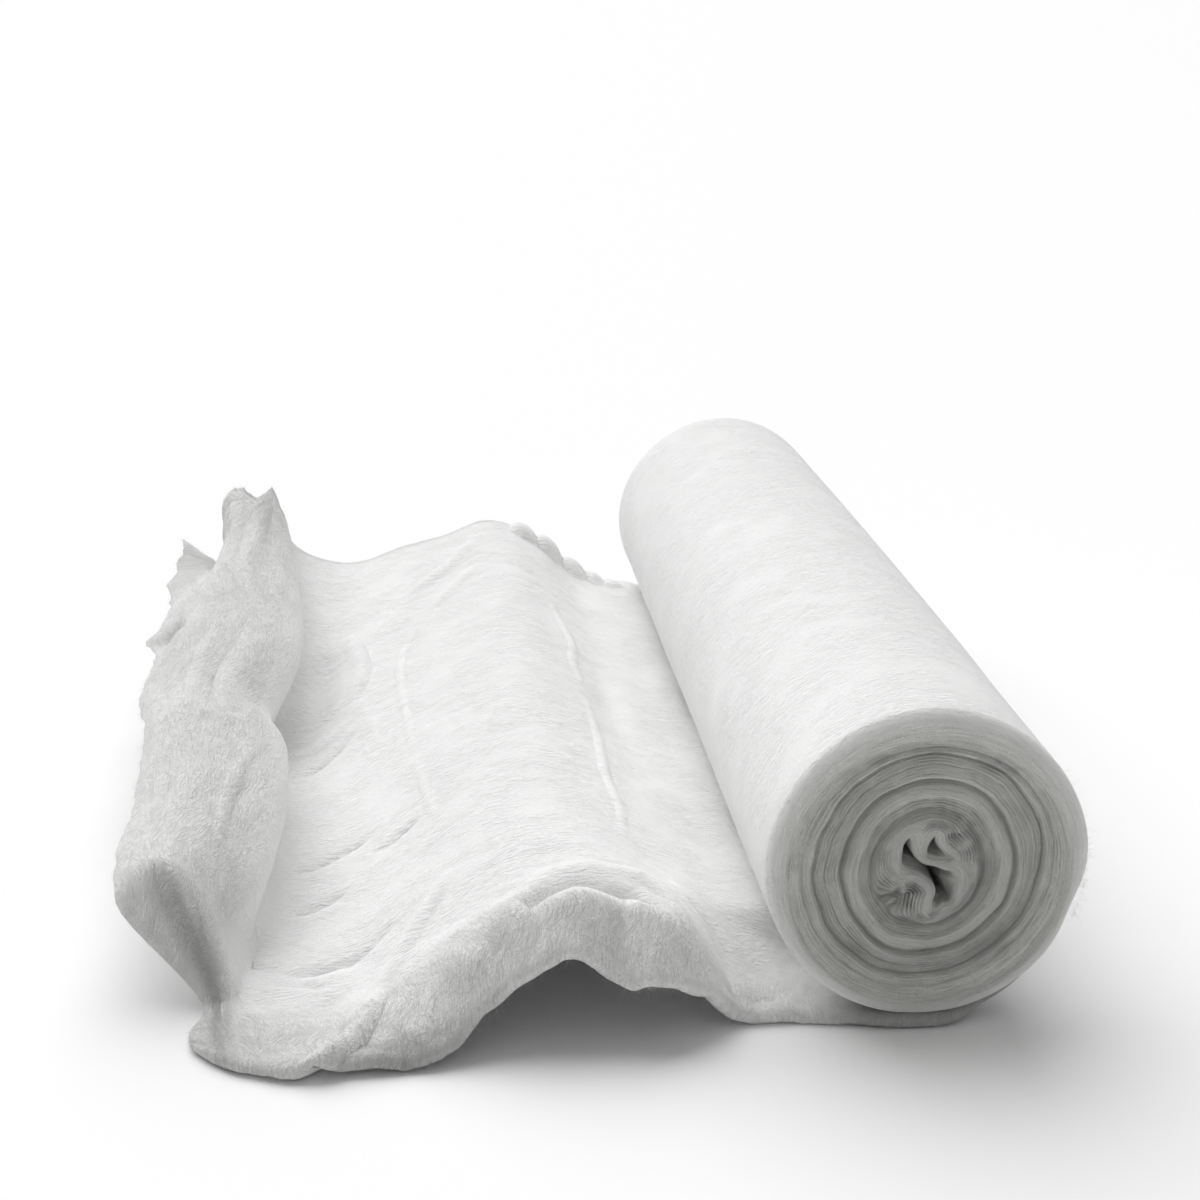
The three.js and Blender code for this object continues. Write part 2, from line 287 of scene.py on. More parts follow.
# The folds of the loose end, in order from the roll to the torn edge
FOLDS = {
    "start": hugging_fold(42, 1.6),
    "curl": hugging_fold(31, 2.6),
    "turn": hugging_fold(21, 4),
    "foot right": fold(-224, 224, 10, MIDDLE),
    "foot left": fold(-224, 224, -12, MIDDLE),
    "leaving": fold(-220, 224, -26, [2.5, 3, 4, 5, 5, 5, 5, 5.2, 5.4, 5.6]),
    "beside the roll": fold(-216, 224, -42, [2.5, 3, 6, 9, 14.5, 15, 15, 15.5, 16, 17]),
    "valley": fold(-217, 224, -60, [4.5, 6.5, 13, 17, 19, 19, 19, 20, 21, 21.5]),
    "right flank": fold(-226, 225, -78, [18.5, 32, 31, 30, 29, 28, 28, 28, 28.5, 29]),
    "right shoulder": fold(-226, 225, -98, [21.5, 41, 41, 40.5, 40, 39, 39, 40, 42.5, 45.5]),
    "crest": fold(-226, 226, -118, [29.5, 42, 43, 43.5, 44, 44, 45, 47, 50, 53]),
    "left shoulder": fold(-227, 225, -138, [17, 34, 36, 37, 38, 39, 40, 42, 44.5, 46.5]),
    "slope": fold(-236, 225, -159, [3, 20, 23, 24, 25, 26, 28, 32, 36, 41]),
    "trough": fold(-238, 225, -184, [2.5, 3.5, 6, 7.5, 9, 10, 13, 20, 27, 33]),
    "base": fold(
        -240, 224,
        [-204, -211, -217, -219, -219, -214, -210, -212, -212, -212, -209, -207, -206],
        [2.5, 2.5, 2.5, 2.5, 3.5, 5, 9, 9, 11, 16, 24, 31, 37],
    ),
    "tuck": fold(
        -238, 224,
        [-210, -216, -221, -223, -222, -220, -218, -219, -221, -219, -217, -217, -219],
        [2.5, 2.5, 2.5, 4, 6.5, 13, 16, 18, 20, 25, 33, 38, 47],
        thickness=FLAP_THICKNESS,
    ),
    "bulge": fold(
        -235, 226,
        [-216, -221, -224, -227, -226, -217, -211, -212, -216, -209, -211, -215, -221],
        [2.5, 2.5, 2.5, 12, 16, 27, 34, 36, 39, 45, 48, 50, 57],
        thickness=FLAP_THICKNESS,
    ),
    "crown": fold(
        -233, 231,
        [-221, -225, -227, -233, -232, -229, -223, -225, -228, -224, -224, -225, -226],
        [2.5, 2.5, 2.5, 30, 33, 38, 44, 47, 50, 54, 58, 63, 74],
        thickness=FLAP_THICKNESS,
    ),
    "shoulder": fold(
        -229, 237,
        [-226, -229, -230, -246, -246, -244, -242, -244, -247, -247, -245, -244, -246],
        [2.5, 2.5, 3, 45, 46, 47, 50, 53, 55, 57, 60, 64, 72],
        thickness=FLAP_THICKNESS,
    ),
    "notch": fold(
        -224, 190,
        [-231, -233, -232, -256, -257, -257, -256, -259, -260, -261, -259, -251, -245],
        [2.5, 2.5, 3, 37, 41, 43, 46, 48, 50, 51, 52, 48, 44],
        thickness=4,
    ),
    "torn edge": fold(
        -217, 224,
        [-236, -237, -234, -263, -265, -267, -265, -266, -270, -272, -272, -272, -273],
        [2, 2, 3, 32, 36, 38, 39, 40, 42, 43, 44, 47, 51],
        thickness=TORN_THICKNESS,
    ),
}
FOLD_NAMES = list(FOLDS)

# Creases on the open cloth, as lines of places on the table: height in mm, below 0 for a trough, and
# half width
CREASES = {
    "pocket behind the near edge": (-8.0, 3.4, [(-130, -205), (-108, -203), (-94, -205), (-84, -209)]),
    "ridge behind the pocket": (2.8, 4.5, [(-126, -195), (-106, -190), (-90, -191), (-76, -199)]),
    "ridge before the pocket": (1.6, 4.0, [(-124, -216), (-108, -210), (-90, -214), (-76, -217)]),
    "fold across the near lip": (3.0, 2.6, [(-94, -184), (-82, -196), (-74, -210), (-68, -226)]),
    "second fold across the near lip": (1.8, 2.6, [(-86, -178), (-72, -190), (-62, -206), (-56, -220)]),
    "furrow across the near lip": (-2.6, 2.4, [(-88, -190), (-77, -203), (-70, -217)]),
    "third fold across the near lip": (2.2, 2.2, [(-78, -172), (-64, -184), (-55, -198)]),
    "second furrow across the near lip": (-2.4, 2.2, [(-80, -182), (-67, -195), (-60, -208)]),
    "furrow of the left slope": (-1.8, 3.5, [(-150, -205), (-138, -212), (-128, -222)]),
    "long left crease": (0.8, 1.3, [(-155, 102), (-162, 78), (-164, 43), (-162, -1), (-159, -48)]),
    "long left crease, near": (0.7, 1.4, [(-159, -48), (-155, -90), (-152, -112)]),
    "long right crease, far": (1.2, 1.4, [(-96, 122), (-93, 96), (-89.5, 70), (-91.5, 44), (-90, 14)]),
    "long right crease, near": (
        1.1, 1.3, [(-91.5, 8), (-89.5, -40), (-90.5, -85), (-88.5, -118), (-91, -150)],
    ),
    "hollow right of the long crease": (-2.0, 9, [(-84, 60), (-80, 10), (-74, -50)]),
    "pucker": (2.6, 2.4, [(-188, 118), (-184, 100), (-181.5, 66), (-186, 42)]),
    "furrow along the pucker": (-0.8, 2.6, [(-186, 112), (-181, 98), (-177.5, 66), (-182, 42)]),
    "hollow beside the pucker": (-5.0, 8, [(-196, 104), (-198, 60), (-201, 34)]),
    "crescent": (-2.8, 2.3, [(-205, -14), (-196, -8), (-183, 14)]),
    "pleat below the pucker": (2.4, 2.2, [(-208, 37), (-198, 38), (-189, 50)]),
    "second pleat below the pucker": (2.0, 2.4, [(-207, 8), (-198, 12), (-187, 26)]),
    "ridge below the pucker": (1.4, 4, [(-183, 40), (-178, 10), (-174, -22)]),
    "low cross fold": (-2.6, 2.2, [(-207, -104), (-190, -97), (-175, -88)]),
    "short cross fold": (-2.2, 1.9, [(-175, -107), (-167, -105), (-159, -101)]),
    "faint cross fold": (-2.2, 2.0, [(-206, -133), (-195, -131), (-186, -127)]),
    "long near fold": (-2.7, 2.1, [(-222, -166), (-204, -177), (-184, -176), (-168, -168)]),
    "short near fold": (-2.2, 1.8, [(-218, -176), (-204, -184), (-192, -188)]),
    "far diagonal fold": (1.8, 3.5, [(-158, 145), (-138, 172), (-122, 203)]),
    "second far diagonal fold": (1.5, 3, [(-149, 116), (-137, 136), (-124, 156)]),
    "pleat at the near edge": (5.0, 2.6, [(-202, -242), (-193, -236), (-184, -225), (-174, -203)]),
    "pleat running in": (2.6, 3.2, [(-174, -203), (-161, -179), (-150, -159)]),
    "dip beside the pleat": (-2.4, 5, [(-210, -226), (-198, -218), (-186, -204)]),
}
# Sharp creases along which the gauze is painted paler: a painted highlight on their ridges
HIGHLIGHTED_CREASES = [
    "long left crease", "long left crease, near", "long right crease, near", "pleat at the near edge",
]

# Rounded puffs of wool on the far edge and along the near lip: place, radius and height in mm
PUFFS = [
    (-100.5, 215, 5.2, 5.5),
    (-88.5, 214, 5.6, 7.0),
    (-76.5, 213, 5.2, 6.0),
    (-66.5, 213, 4.2, 3.6),
    (-57, 214, 4.0, 2.4),
    (-88, -216, 8.0, 3.0),
    (-112, -217, 9.0, 1.8),
    (-134, -213, 9.0, 1.6),
]

# Creases in the flap: height, half width, and a line of places as (fold, millimetres along Y)
FLAP_CREASES = {
    "groove": (-1.7, 3.2, [(17.3, 62), (17.5, 8), (17.75, -46)]),
    "ridge beside the groove": (1.4, 2.6, [(17.75, 66), (17.95, 12), (18.15, -30)]),
    "fold across the groove's end": (0.9, 4.0, [(18.4, -38), (17.6, -52), (16.8, -40)]),
    "near ridge": (1.4, 2.6, [(17.0, -60), (17.3, -110), (17.2, -150)]),
    "ridge up the prong": (1.8, 3.0, [(17.15, 222), (17.35, 170), (17.5, 120), (17.2, 84)]),
    "hollow in the prong": (-1.0, 6.0, [(16.9, 200), (17.0, 150)]),
    "wisp ridge": (1.8, 2.4, [(19.55, 200), (19.3, 160), (18.9, 112)]),
}
DIMPLE = (19.15, 66, 8.5, 7.5)  # fold place, Y, radius, depth

# How far apart the rows are: place as fold, and step in mm. They are closest at the pressed creases
ROW_STEPS = [
    (0, 3.2), (4, 3.2), (4.5, 1.9), (8.1, 1.9), (8.3, 0.9), (8.8, 0.9), (9.0, 1.9), (11.7, 1.9),
    (11.9, 0.9), (12.3, 0.9), (12.5, 1.8), (15, 1.8), (15.6, 1.35), (20, 1.35),
]
CLOTH_STEPS_ACROSS = 206
EDGE_STEPS = [0.0, 0.15, 0.6, 1.3, 2.2, 3.4]

# How much of the cloth, in mm from the edge, is drawn in where the torn edge and the flap's far edge
# fall short of their folds, and where that far edge frays
TORN_REACH = 26.0
FAR_REACH = 90.0
FRAY_REACH = 14.0

# How far the torn edge falls short of its fold on the whole, and at most, in mm
TORN_MEAN, TORN_MOST = 2.0, 14

# Unevenness as layers: height in mm, size of cell and seed. A cell is in mm, or in folds where it
# runs along the flap's far edge or across its near face
TORN_RAGGEDNESS = [(2.8, 30, 11), (1.5, 9, 12), (0.5, 3.5, 13)]
FAR_RAGGEDNESS = [(1.6, 0.16, 14), (0.8, 0.07, 15)]
OPEN_UNEVENNESS = [(0.9, (26, 60), 21), (0.5, (12, 30), 22), (0.2, (7, 4.5), 23)]
LIP_LUMPS = [(1.8, 14, 24), (1.0, 6, 25), (0.35, 2.8, 26)]
FLAP_SWELL = [(1.5, (15, 55), 31), (0.6, (8, 22), 32), (0.16, (3.5, 6), 33)]
WOOL_EDGE_WANDER = [(7, (18, 14), 42), (4, 6, 43)]
FACE_EDGE_WANDER = [(4, (0.22, 9), 45)]
# The same as shares of the near face's painted shade and of the cloth's thickness
FACE_MOTTLE = [(0.35, 5, 44)]
THIN_UNEVENNESS = [(0.12, (7, 9), 41)]

# Where the open cloth and the flap set in and end: pairs of places as folds, and of Y in mm for the
# flap's near end. The lumps of the lip lie round one Y, with a spread
OPEN_START, OPEN_END = (4.5, 6), (14.5, 15.5)
FLAP_START, FLAP_NEAR_END = (15.5, 17), (-186, -170)
LIP_Y, LIP_SPREAD = -222, 22

# How much thinner the flap is pulled at its torn and far edges, as a share of its thickness: on the
# whole and at most. Where it sets in, as folds, and as mm along Y or from the far edge
THINNED, THINNED_MOST = 0.55, 0.7
THIN_TORN_START, THIN_TORN_Y = (18.0, 20), (-200, -170)
THIN_FAR_START, THIN_FAR_REACH = (16, 17), (0, 30)
# How much the near lip swells in half its thickness, its middle and spread along Y, and its folds
LIP_SWELL, LIP_SWELL_Y, LIP_SWELL_SPREAD = 0.6, -224, 12
LIP_SWELL_START, LIP_SWELL_END = (5, 7), (13, 15)
# How far in from each edge its rounding reaches, in mm
NEAR_ROUNDING, FAR_ROUNDING, START_ROUNDING, TORN_ROUNDING = 3.2, 2.6, 2.0, 5.0
# Cloth that comes this near to the table lies flat on it, in mm
TABLE_REACH = 0.4

# How bare the wool is along the two edges, from 0 to 1, and where it sets in or ends: mm from the near
# and the far edge, and places as folds in the flap
NEAR_FLUFF, FAR_FLUFF = 0.85, 0.6
NEAR_WOOL, FAR_WOOL, FLAP_WOOL = (14, 44), (1, 7), (15.6, 16.8)

# How much painted shade darkens the wool in its shaded places, from 0 to 1
PAINTED_SHADE_CORNER, PAINTED_SHADE_FACE, PAINTED_SHADE_FACE_MIDDLE = 0.28, 0.2, 0.42
PAINTED_SHADE_LIP_FOOT, PAINTED_SHADE_LIP_FRONT, PAINTED_SHADE_DIMPLE = 0.85, 0.13, 0.3
# Where those shaded places set in or end: X, Y or mm from the near edge, and places as folds. The near
# face's painted shade is darkest round one fold, and the lip foot's round one X, each given with its spread
UNDER_ROLL_X, UNDER_ROLL_Y = (-40, -16), (-215, -190)
CORNER_START, CORNER_Y = (12, 14.5), (-206, -184)
FACE_START, FACE_Y, FACE_DARKEST, FACE_SPREAD = (16.5, 17.5), (-182, -170), 17.9, 0.55
LIP_FOOT_REACH, LIP_FOOT_X, LIP_FOOT_SPREAD = (4.5, 10), -168, 24
LIP_FRONT_REACH, LIP_FRONT_START, LIP_FRONT_END = (20, 40), (7, 8.2), (11, 12.5)

# Local pulls on the middle surface: place as (fold, millimetres along Y), how far the pull spreads in
# folds and along Y, and how far it moves the cloth in X, Y and Z
PULLS = {
    "waist of the flap": (16.2, -10, 1.2, 20, (-4, 0, -1)),
    "pocket beside the flap": (14.4, 18, 0.9, 26, (-4, 0, -4)),
    "skirt at the lip's foot": (6.4, -222, 0.9, 12, (0, -2, 0)),
    "puff of the near lip": (8.6, -226, 0.6, 10, (0, -4, 1)),
    "left side of the prong": (18.45, 222, 0.35, 16, (-1, 0, 2)),
    "nub of the torn edge": (20.0, 74, 0.5, 9, (-5, 0, 0)),
    "horn of the torn edge": (20.0, 150, 0.7, 14, (-2, 0, 0)),
}

# How far, in mm, the far edge of the flap falls short of its folds: place as fold, and trim. The two
# tips of the standing prong are at 17.0 and 17.66, and the gap beside it is at 18.88
FAR_EDGE = [
    (16.2, 0), (16.5, 6), (16.8, 3), (17.0, 0), (17.1, 5), (17.25, 15), (17.38, 20), (17.46, 16),
    (17.56, 13), (17.66, 7), (17.74, 9), (17.9, 6), (18.05, 9), (18.25, 13), (18.6, 16), (18.78, 38),
    (18.88, 52), (18.97, 34), (19.08, 15), (19.35, 5), (19.7, 2), (20.0, 0),
]


def across_places():
    """Places across the cloth, counted in stations: even steps, with finer ones near both edges."""
    y = np.array([-232.0, *STATION_Y[1:-1], 226.0])
    inner = np.linspace(y[0] + 5, y[-1] - 5, CLOTH_STEPS_ACROSS - 2 * len(EDGE_STEPS))
    edge = np.array(EDGE_STEPS)
    where = np.concatenate([y[0] + edge, inner, y[-1] - edge[::-1]])
    return np.interp(where, y, np.arange(STATIONS))


def torn_trim(y):
    """How far, in mm, the torn edge falls short of its fold at each Y: ragged at three scales, and
    hardly at all along the horn at its far end."""
    free = smooth_step(-190, -160, y) * (1 - 0.6 * smooth_step(150, 190, y))
    return free * np.clip(TORN_MEAN + layered(y, 0, TORN_RAGGEDNESS), 0, TORN_MOST)


def far_raggedness(place):
    """How far, in mm, the flap's far edge frays short at each place along the folds: the sizes of two
    drifts, added up."""
    ragged = sum(np.abs(layered(place, 0, [layer])) for layer in FAR_RAGGEDNESS)
    return smooth_step(16.2, 17, place) * ragged


def trimmed(grid, length, reach, trim):
    """Pulls in the last rows of a grid: the last reach mm of its length are shortened by trim, which
    has one value for each column."""
    left = length[-1] - length[:, None]
    shorter = length[-1] - reach + (reach - left) * (reach - trim) / reach
    where = np.where(left < reach, shorter, length[:, None])
    row = np.interp(where, length, np.arange(len(length)))
    first = np.clip(row.astype(int), 0, len(length) - 2)
    share = (row - first)[..., None]
    column = np.arange(grid.shape[1])[None, :]
    return grid[first, column] * (1 - share) + grid[first + 1, column] * share


def loose_end_middle():
    """The middle of the cloth's thickness as a grid of rows from the roll to the torn edge and columns from
    the near edge to the far one: curves across through each fold's points, and then curves along through
    those, pulled and trimmed. Returns it with each row's place counted in folds and its thickness."""
    points = np.stack([FOLDS[name]["points"] for name in FOLD_NAMES], axis=1)
    across = through(points, across_places())
    along_first = np.swapaxes(across, 0, 1)
    fine = np.linspace(0, len(FOLD_NAMES) - 1, 801)
    coarse = running_length(through(along_first, fine), 0)
    rows_before = np.cumsum(np.gradient(coarse) / np.interp(fine, *zip(*ROW_STEPS)))
    row_count = int(rows_before[-1] - rows_before[0])
    length = np.interp(np.linspace(rows_before[0], rows_before[-1], row_count), rows_before, coarse)
    length = np.sort(np.concatenate([length, length[-1] - np.array([0.2, 0.6])]))
    place = np.interp(length, coarse, fine)
    grid = through(along_first, place)

    y = grid[..., 1]
    for where, at_y, spread, spread_y, move in PULLS.values():
        pull = bell(place[:, None] - where, spread) * bell(y - at_y, spread_y)
        grid = grid + pull[..., None] * np.array(move)

    grid = trimmed(grid, length, TORN_REACH, torn_trim(grid[-1, :, 1]))
    turned = np.swapaxes(grid, 0, 1)
    tips_and_gaps = np.interp(place, *zip(*FAR_EDGE))
    turned = trimmed(turned, running_length(turned, 0), FAR_REACH, tips_and_gaps)
    turned = trimmed(turned, running_length(turned, 0), FRAY_REACH, far_raggedness(place))
    grid = np.swapaxes(turned, 0, 1)
    thickness = np.interp(place, range(len(FOLD_NAMES)), [f["thickness"] for f in FOLDS.values()])
    return grid, place, thickness


def creased(grid, place):
    """The middle surface with its creases, puffs and slow unevenness: heights added along Z on the open
    cloth, and along the surface's own normal in the flap. Also gives where the gauze is painted paler along
    the sharp creases, a painted highlight, from 0 to 1."""
    x, y = grid[..., 0], grid[..., 1]
    row = place[:, None] + 0 * y
    open_cloth = smooth_step(*OPEN_START, row) * (1 - smooth_step(*OPEN_END, row))
    rise = sum(height * line_bell(x, y, line, width) for height, width, line in CREASES.values())
    for puff_x, puff_y, size, high in PUFFS:
        away = np.hypot(x - puff_x, 0.65 * (y - puff_y))
        rise = rise + high * np.exp(-((away / size) ** 4))
    lip = bell(y - LIP_Y, LIP_SPREAD)
    rise = rise + layered(x, y, OPEN_UNEVENNESS) + lip * layered(x, y, LIP_LUMPS)
    lifted = grid.copy()
    lifted[..., 2] += open_cloth * rise

    length = running_length(grid, 0)[:, None] + 0 * y
    at_fold = lambda f: np.interp(f, place, length[:, 0])
    flap = smooth_step(*FLAP_START, row) * smooth_step(*FLAP_NEAR_END, y)
    swell = 0 * y
    for height, width, line in FLAP_CREASES.values():
        swell = swell + height * line_bell(length, y, [(at_fold(f), v) for f, v in line], width)
    fold_place, dimple_y, size, deep = DIMPLE
    swell = swell - deep * bell(np.hypot(length - at_fold(fold_place), y - dimple_y), size)
    swell = swell + layered(length, y, FLAP_SWELL)
    # Painted highlight: where the gauze is painted paler along the sharp creases
    pressed = sum(line_bell(x, y, CREASES[name][2], 1.0) for name in HIGHLIGHTED_CREASES) * open_cloth
    return lifted + surface_normals(lifted) * (flap * swell)[..., None], np.clip(pressed, 0, 1)


def edge_rounding(grid, half):
    """How much of the half thickness is left at each point: a quarter circle down to 0 at each of the
    four edges."""
    def from_edges(axis, near_edge, far_edge):
        steps = np.linalg.norm(np.diff(grid, axis=axis), axis=-1)
        zero = np.zeros_like(np.take(steps, [0], axis=axis))
        run = np.concatenate([zero, np.cumsum(steps, axis=axis)], axis=axis)
        total = np.take(run, [-1], axis=axis)
        return np.minimum(run / near_edge, (total - run) / far_edge)

    across, along = from_edges(1, NEAR_ROUNDING, FAR_ROUNDING), from_edges(0, START_ROUNDING, TORN_ROUNDING)
    nearest = np.minimum(across, along)
    return half * np.sqrt(1 - (1 - np.clip(nearest, 0, 1)) ** 2)


def closed_sheet(upper, lower, flat):
    """Points, faces and corner places of a closed sheet whose upper and lower grids meet in their
    edges. Faces of the upper grid turn up, and those of the lower grid down."""
    rows, columns = upper.shape[:2]
    index = np.arange(rows * columns).reshape(rows, columns)
    inner = np.zeros((rows, columns), bool)
    inner[1:-1, 1:-1] = True
    under = index.copy()
    under[inner] = rows * columns + np.arange(inner.sum())
    points = np.concatenate([upper.reshape(-1, 3), lower[inner]])
    corner = lambda grid: [grid[:-1, :-1], grid[:-1, 1:], grid[1:, 1:], grid[1:, :-1]]
    top = np.stack(corner(index), axis=-1).reshape(-1, 4)
    bottom = np.stack(corner(under)[::-1], axis=-1).reshape(-1, 4)
    top_uv = np.stack(corner(flat), axis=2).reshape(-1, 4, 2)
    bottom_uv = np.stack(corner(flat)[::-1], axis=2).reshape(-1, 4, 2)
    faces, uv = np.concatenate([top, bottom]), np.concatenate([top_uv, bottom_uv])
    return points, faces, uv, inner


def cloth_masks(middle, row, length, from_near, from_far):
    """Two shares from 0 to 1 at each point. Fluff is bare wool: the flap, the near lip up to a wandering
    line, and the far edge. Painted shade is how far the wool is darkened to grey where it lies in the
    shade: under the roll, the corner by the flap, the flap's near face, the foot and the front of the lip,
    and the dimple."""
    x, y, z = (middle[..., k] for k in range(3))
    wander = layered(length[:, None], from_near, WOOL_EDGE_WANDER)
    near = 1 - smooth_step(*NEAR_WOOL, from_near + wander)
    far = 1 - smooth_step(*FAR_WOOL, from_far)
    fluff = np.maximum.reduce([smooth_step(*FLAP_WOOL, row), NEAR_FLUFF * near, FAR_FLUFF * far])

    # Painted shade: each place below is where the wool is darkened because it lies in the shade
    under_roll = smooth_step(*UNDER_ROLL_X, x) * (1 - smooth_step(*UNDER_ROLL_Y, y))
    corner = PAINTED_SHADE_CORNER * smooth_step(*CORNER_START, row) * (1 - smooth_step(*CORNER_Y, y))
    face_edge = y + layered(row, y, FACE_EDGE_WANDER)
    face_tone = PAINTED_SHADE_FACE + PAINTED_SHADE_FACE_MIDDLE * bell(row - FACE_DARKEST, FACE_SPREAD)
    face_tone = face_tone * (1 + layered(x, z, FACE_MOTTLE))
    near_face = face_tone * smooth_step(*FACE_START, row) * (1 - smooth_step(*FACE_Y, face_edge))
    below_lip = PAINTED_SHADE_LIP_FOOT * (1 - smooth_step(*LIP_FOOT_REACH, from_near))
    below_lip = below_lip * bell(x - LIP_FOOT_X, LIP_FOOT_SPREAD)
    lip_rows = smooth_step(*LIP_FRONT_START, row) * (1 - smooth_step(*LIP_FRONT_END, row))
    lip_slope = PAINTED_SHADE_LIP_FRONT * (1 - smooth_step(*LIP_FRONT_REACH, from_near)) * lip_rows
    fold_place, dimple_y, size, _ = DIMPLE
    at_dimple = np.interp(fold_place, row[:, 0], length)
    from_dimple = np.hypot(length[:, None] - at_dimple, 0.8 * (y - dimple_y))
    dimple = PAINTED_SHADE_DIMPLE * bell(from_dimple, 0.85 * size)
    return fluff, np.maximum.reduce([under_roll, corner, near_face, below_lip, lip_slope, dimple])


def half_thickness(middle, row, thickness, length, from_far):
    """Half the cloth's thickness at each point: thinner towards the flap's torn and far edges, a little
    thicker along the near lip, and rounded off at all four edges."""
    y = middle[..., 1]
    thin_torn = smooth_step(*THIN_TORN_START, row) * smooth_step(*THIN_TORN_Y, y)
    thin_far = smooth_step(*THIN_FAR_START, row) * (1 - smooth_step(*THIN_FAR_REACH, from_far))
    uneven = layered(y, length[:, None], THIN_UNEVENNESS)
    thinned = np.clip(THINNED * np.maximum(thin_torn, thin_far) + uneven, 0, THINNED_MOST)
    lip = bell(y - LIP_SWELL_Y, LIP_SWELL_SPREAD)
    lip = lip * smooth_step(*LIP_SWELL_START, row) * (1 - smooth_step(*LIP_SWELL_END, row))
    half = (thickness[:, None] / 2 + 0 * y) * (1 - thinned) + LIP_SWELL * lip
    return edge_rounding(middle, half)


def make_loose_end(material):
    """The loose end: the creased middle surface, thickened to both sides of it and rounded off at its
    edges. Whatever would sink into the table lies flat on it."""
    plain, place, thickness = loose_end_middle()
    middle, pressed = creased(plain, place)
    y = middle[..., 1]
    row = place[:, None] + 0 * y
    length, width = running_length(middle, 0), running_length(middle, 1)
    from_near, from_far = width[None, :] + 0 * y, (width[-1] - width)[None, :] + 0 * y

    half = half_thickness(middle, row, thickness, length, from_far)
    middle[..., 2] = np.maximum(middle[..., 2], np.minimum(half, MIDDLE))
    normal = surface_normals(middle)
    upper = middle + normal * half[..., None]
    lower = middle - normal * half[..., None]
    lower[..., 2] = np.where(lower[..., 2] < TABLE_REACH, 0, lower[..., 2])
    upper[..., 2] = np.maximum(upper[..., 2], 0.0)

    points, faces, uv, inner = closed_sheet(upper, lower, cloth_places(middle))
    fluff, dull = cloth_masks(middle, row, length, from_near, from_far)
    spread = lambda grid: np.concatenate([grid.ravel(), grid[inner]])
    piece = mesh_piece(
        "loose_end_cloth", points, faces, uv, material,
        fluff=spread(fluff), pressed=spread(pressed), dull=spread(dull),
    )
    return piece, middle


# The wound roll

ROUND_STEPS = 324
RIM_REACH = 6.0
RIM_DEPTH = 5.5
RIM_STEPS = 9
RIM_LEANS = np.linspace(0, np.pi / 2, RIM_STEPS + 1)[1:]
CREST_RADIUS = ROLL_RADIUS - RIM_REACH
BODY_END = HALF_WIDTH - RIM_DEPTH
BODY_STEPS = 45
FACE_STEP = 0.25
INNERMOST_RING = 0.05
# The far face, which isn't seen, has one ring for this many of the near face's
FAR_FACE_STRIDE = 4
# A radius along the plies that lies past the whole end face, for the roll's body
PAST_FACE = 60.0

# The winding's slow wander: height in mm, waves round the roll, and mm along it for a radian of twist
WINDING_WANDER = [(0.5, 2, 150), (0.4, 3, -90)]
# A slight flat on the right of the near end: depth in mm, turn and spread in radians, and the stretch
# along Y over which it sets in
FLAT_DEEP, FLAT_TURN, FLAT_SPREAD, FLAT_Y = 1.5, -0.30, 0.2, (-100, -190)
# Wander and swell fade out low on the roll, where it bears on the cloth: sines of the turn
BEARING = (-0.55, 0.3)

# How the plies of the end face stand in from the rim's crest: radius in mm, measured along the
# plies, and depth in mm
FACE_DEPTH = [
    (0, 1.2), (15.5, 1.4), (17.6, 3.2), (19.0, 4.0), (20.5, 2.9), (22.4, 2.9), (23.2, 2.4),
    (24.0, 1.5), (25.5, 1.6), (27.2, 2.2), (28.2, 3.4), (28.9, 4.0), (29.5, 2.8), (30.2, 1.6),
    (31.4, 2.1), (33.2, 2.3), (33.8, 2.9), (34.5, 2.4), (36.6, 2.9), (37.4, 3.8), (38.1, 2.6),
    (38.8, 1.4), (40.5, 1.7), (41.3, 2.3), (42.0, 1.6), (44.0, 1.0), (46.0, 0.4), (60, 0),
]
# How much each stretch of plies shows its fine turns: radius and share. The far face shows less
PLY_SHARE = [(0, 0), (11, 0.2), (14, 1), (23, 0.8), (24, 0.3), (27, 0.4), (29, 0.9), (43, 1), (49, 0.3)]
FAR_PLY_SHARE = 0.3
PLY_PITCH = 0.98
PLY_GROOVE = 0.9
RING_WANDER = [(0.6, 13, 51), (0.35, 6, 55)]
CREST_WANDER = [(0.5, 9, 52)]
GROOVE_UNEVENNESS = [(0.35, 5, 53), (0.35, 1.9, 54)]
WINDING_UNEVENNESS = [(0.35, (24, 50), 61)]
# How far the inner and outer rings are from round, in mm: longer, lifted and leaning
INNER_EGG = (-1.0, 0.65, 0.2)
OUTER_EGG = (-0.5, 1.6, 0.8)
# The core's hollows: how deep they are, and how deep and how far their slopes run out. They and the
# rounding of their edges end inside the core's reach
HOLLOW_DEEP, HOLLOW_SLOPE = 14, 5
MAIN_FALL, UPPER_FALL = 2.2, 2.4
CORE_REACH = 22
FAN_GROOVE = 3.0
# Pairs of radii in mm: where the rings' wander and the crests' own set in and end, where the inner
# rings' shape turns into the outer rings', and where the core's shape turns into the rings'
RINGS_START, RINGS_END = (12, 20), (39, 45)
CRESTS_START, CRESTS_END = (14, 20), (40, 46)
TO_OUTER_RINGS = (30, 38)
TO_RINGS = (13.5, 20)
# The radius along the plies at the very edge of the core's hollows
HOLLOW_EDGE = 8.5

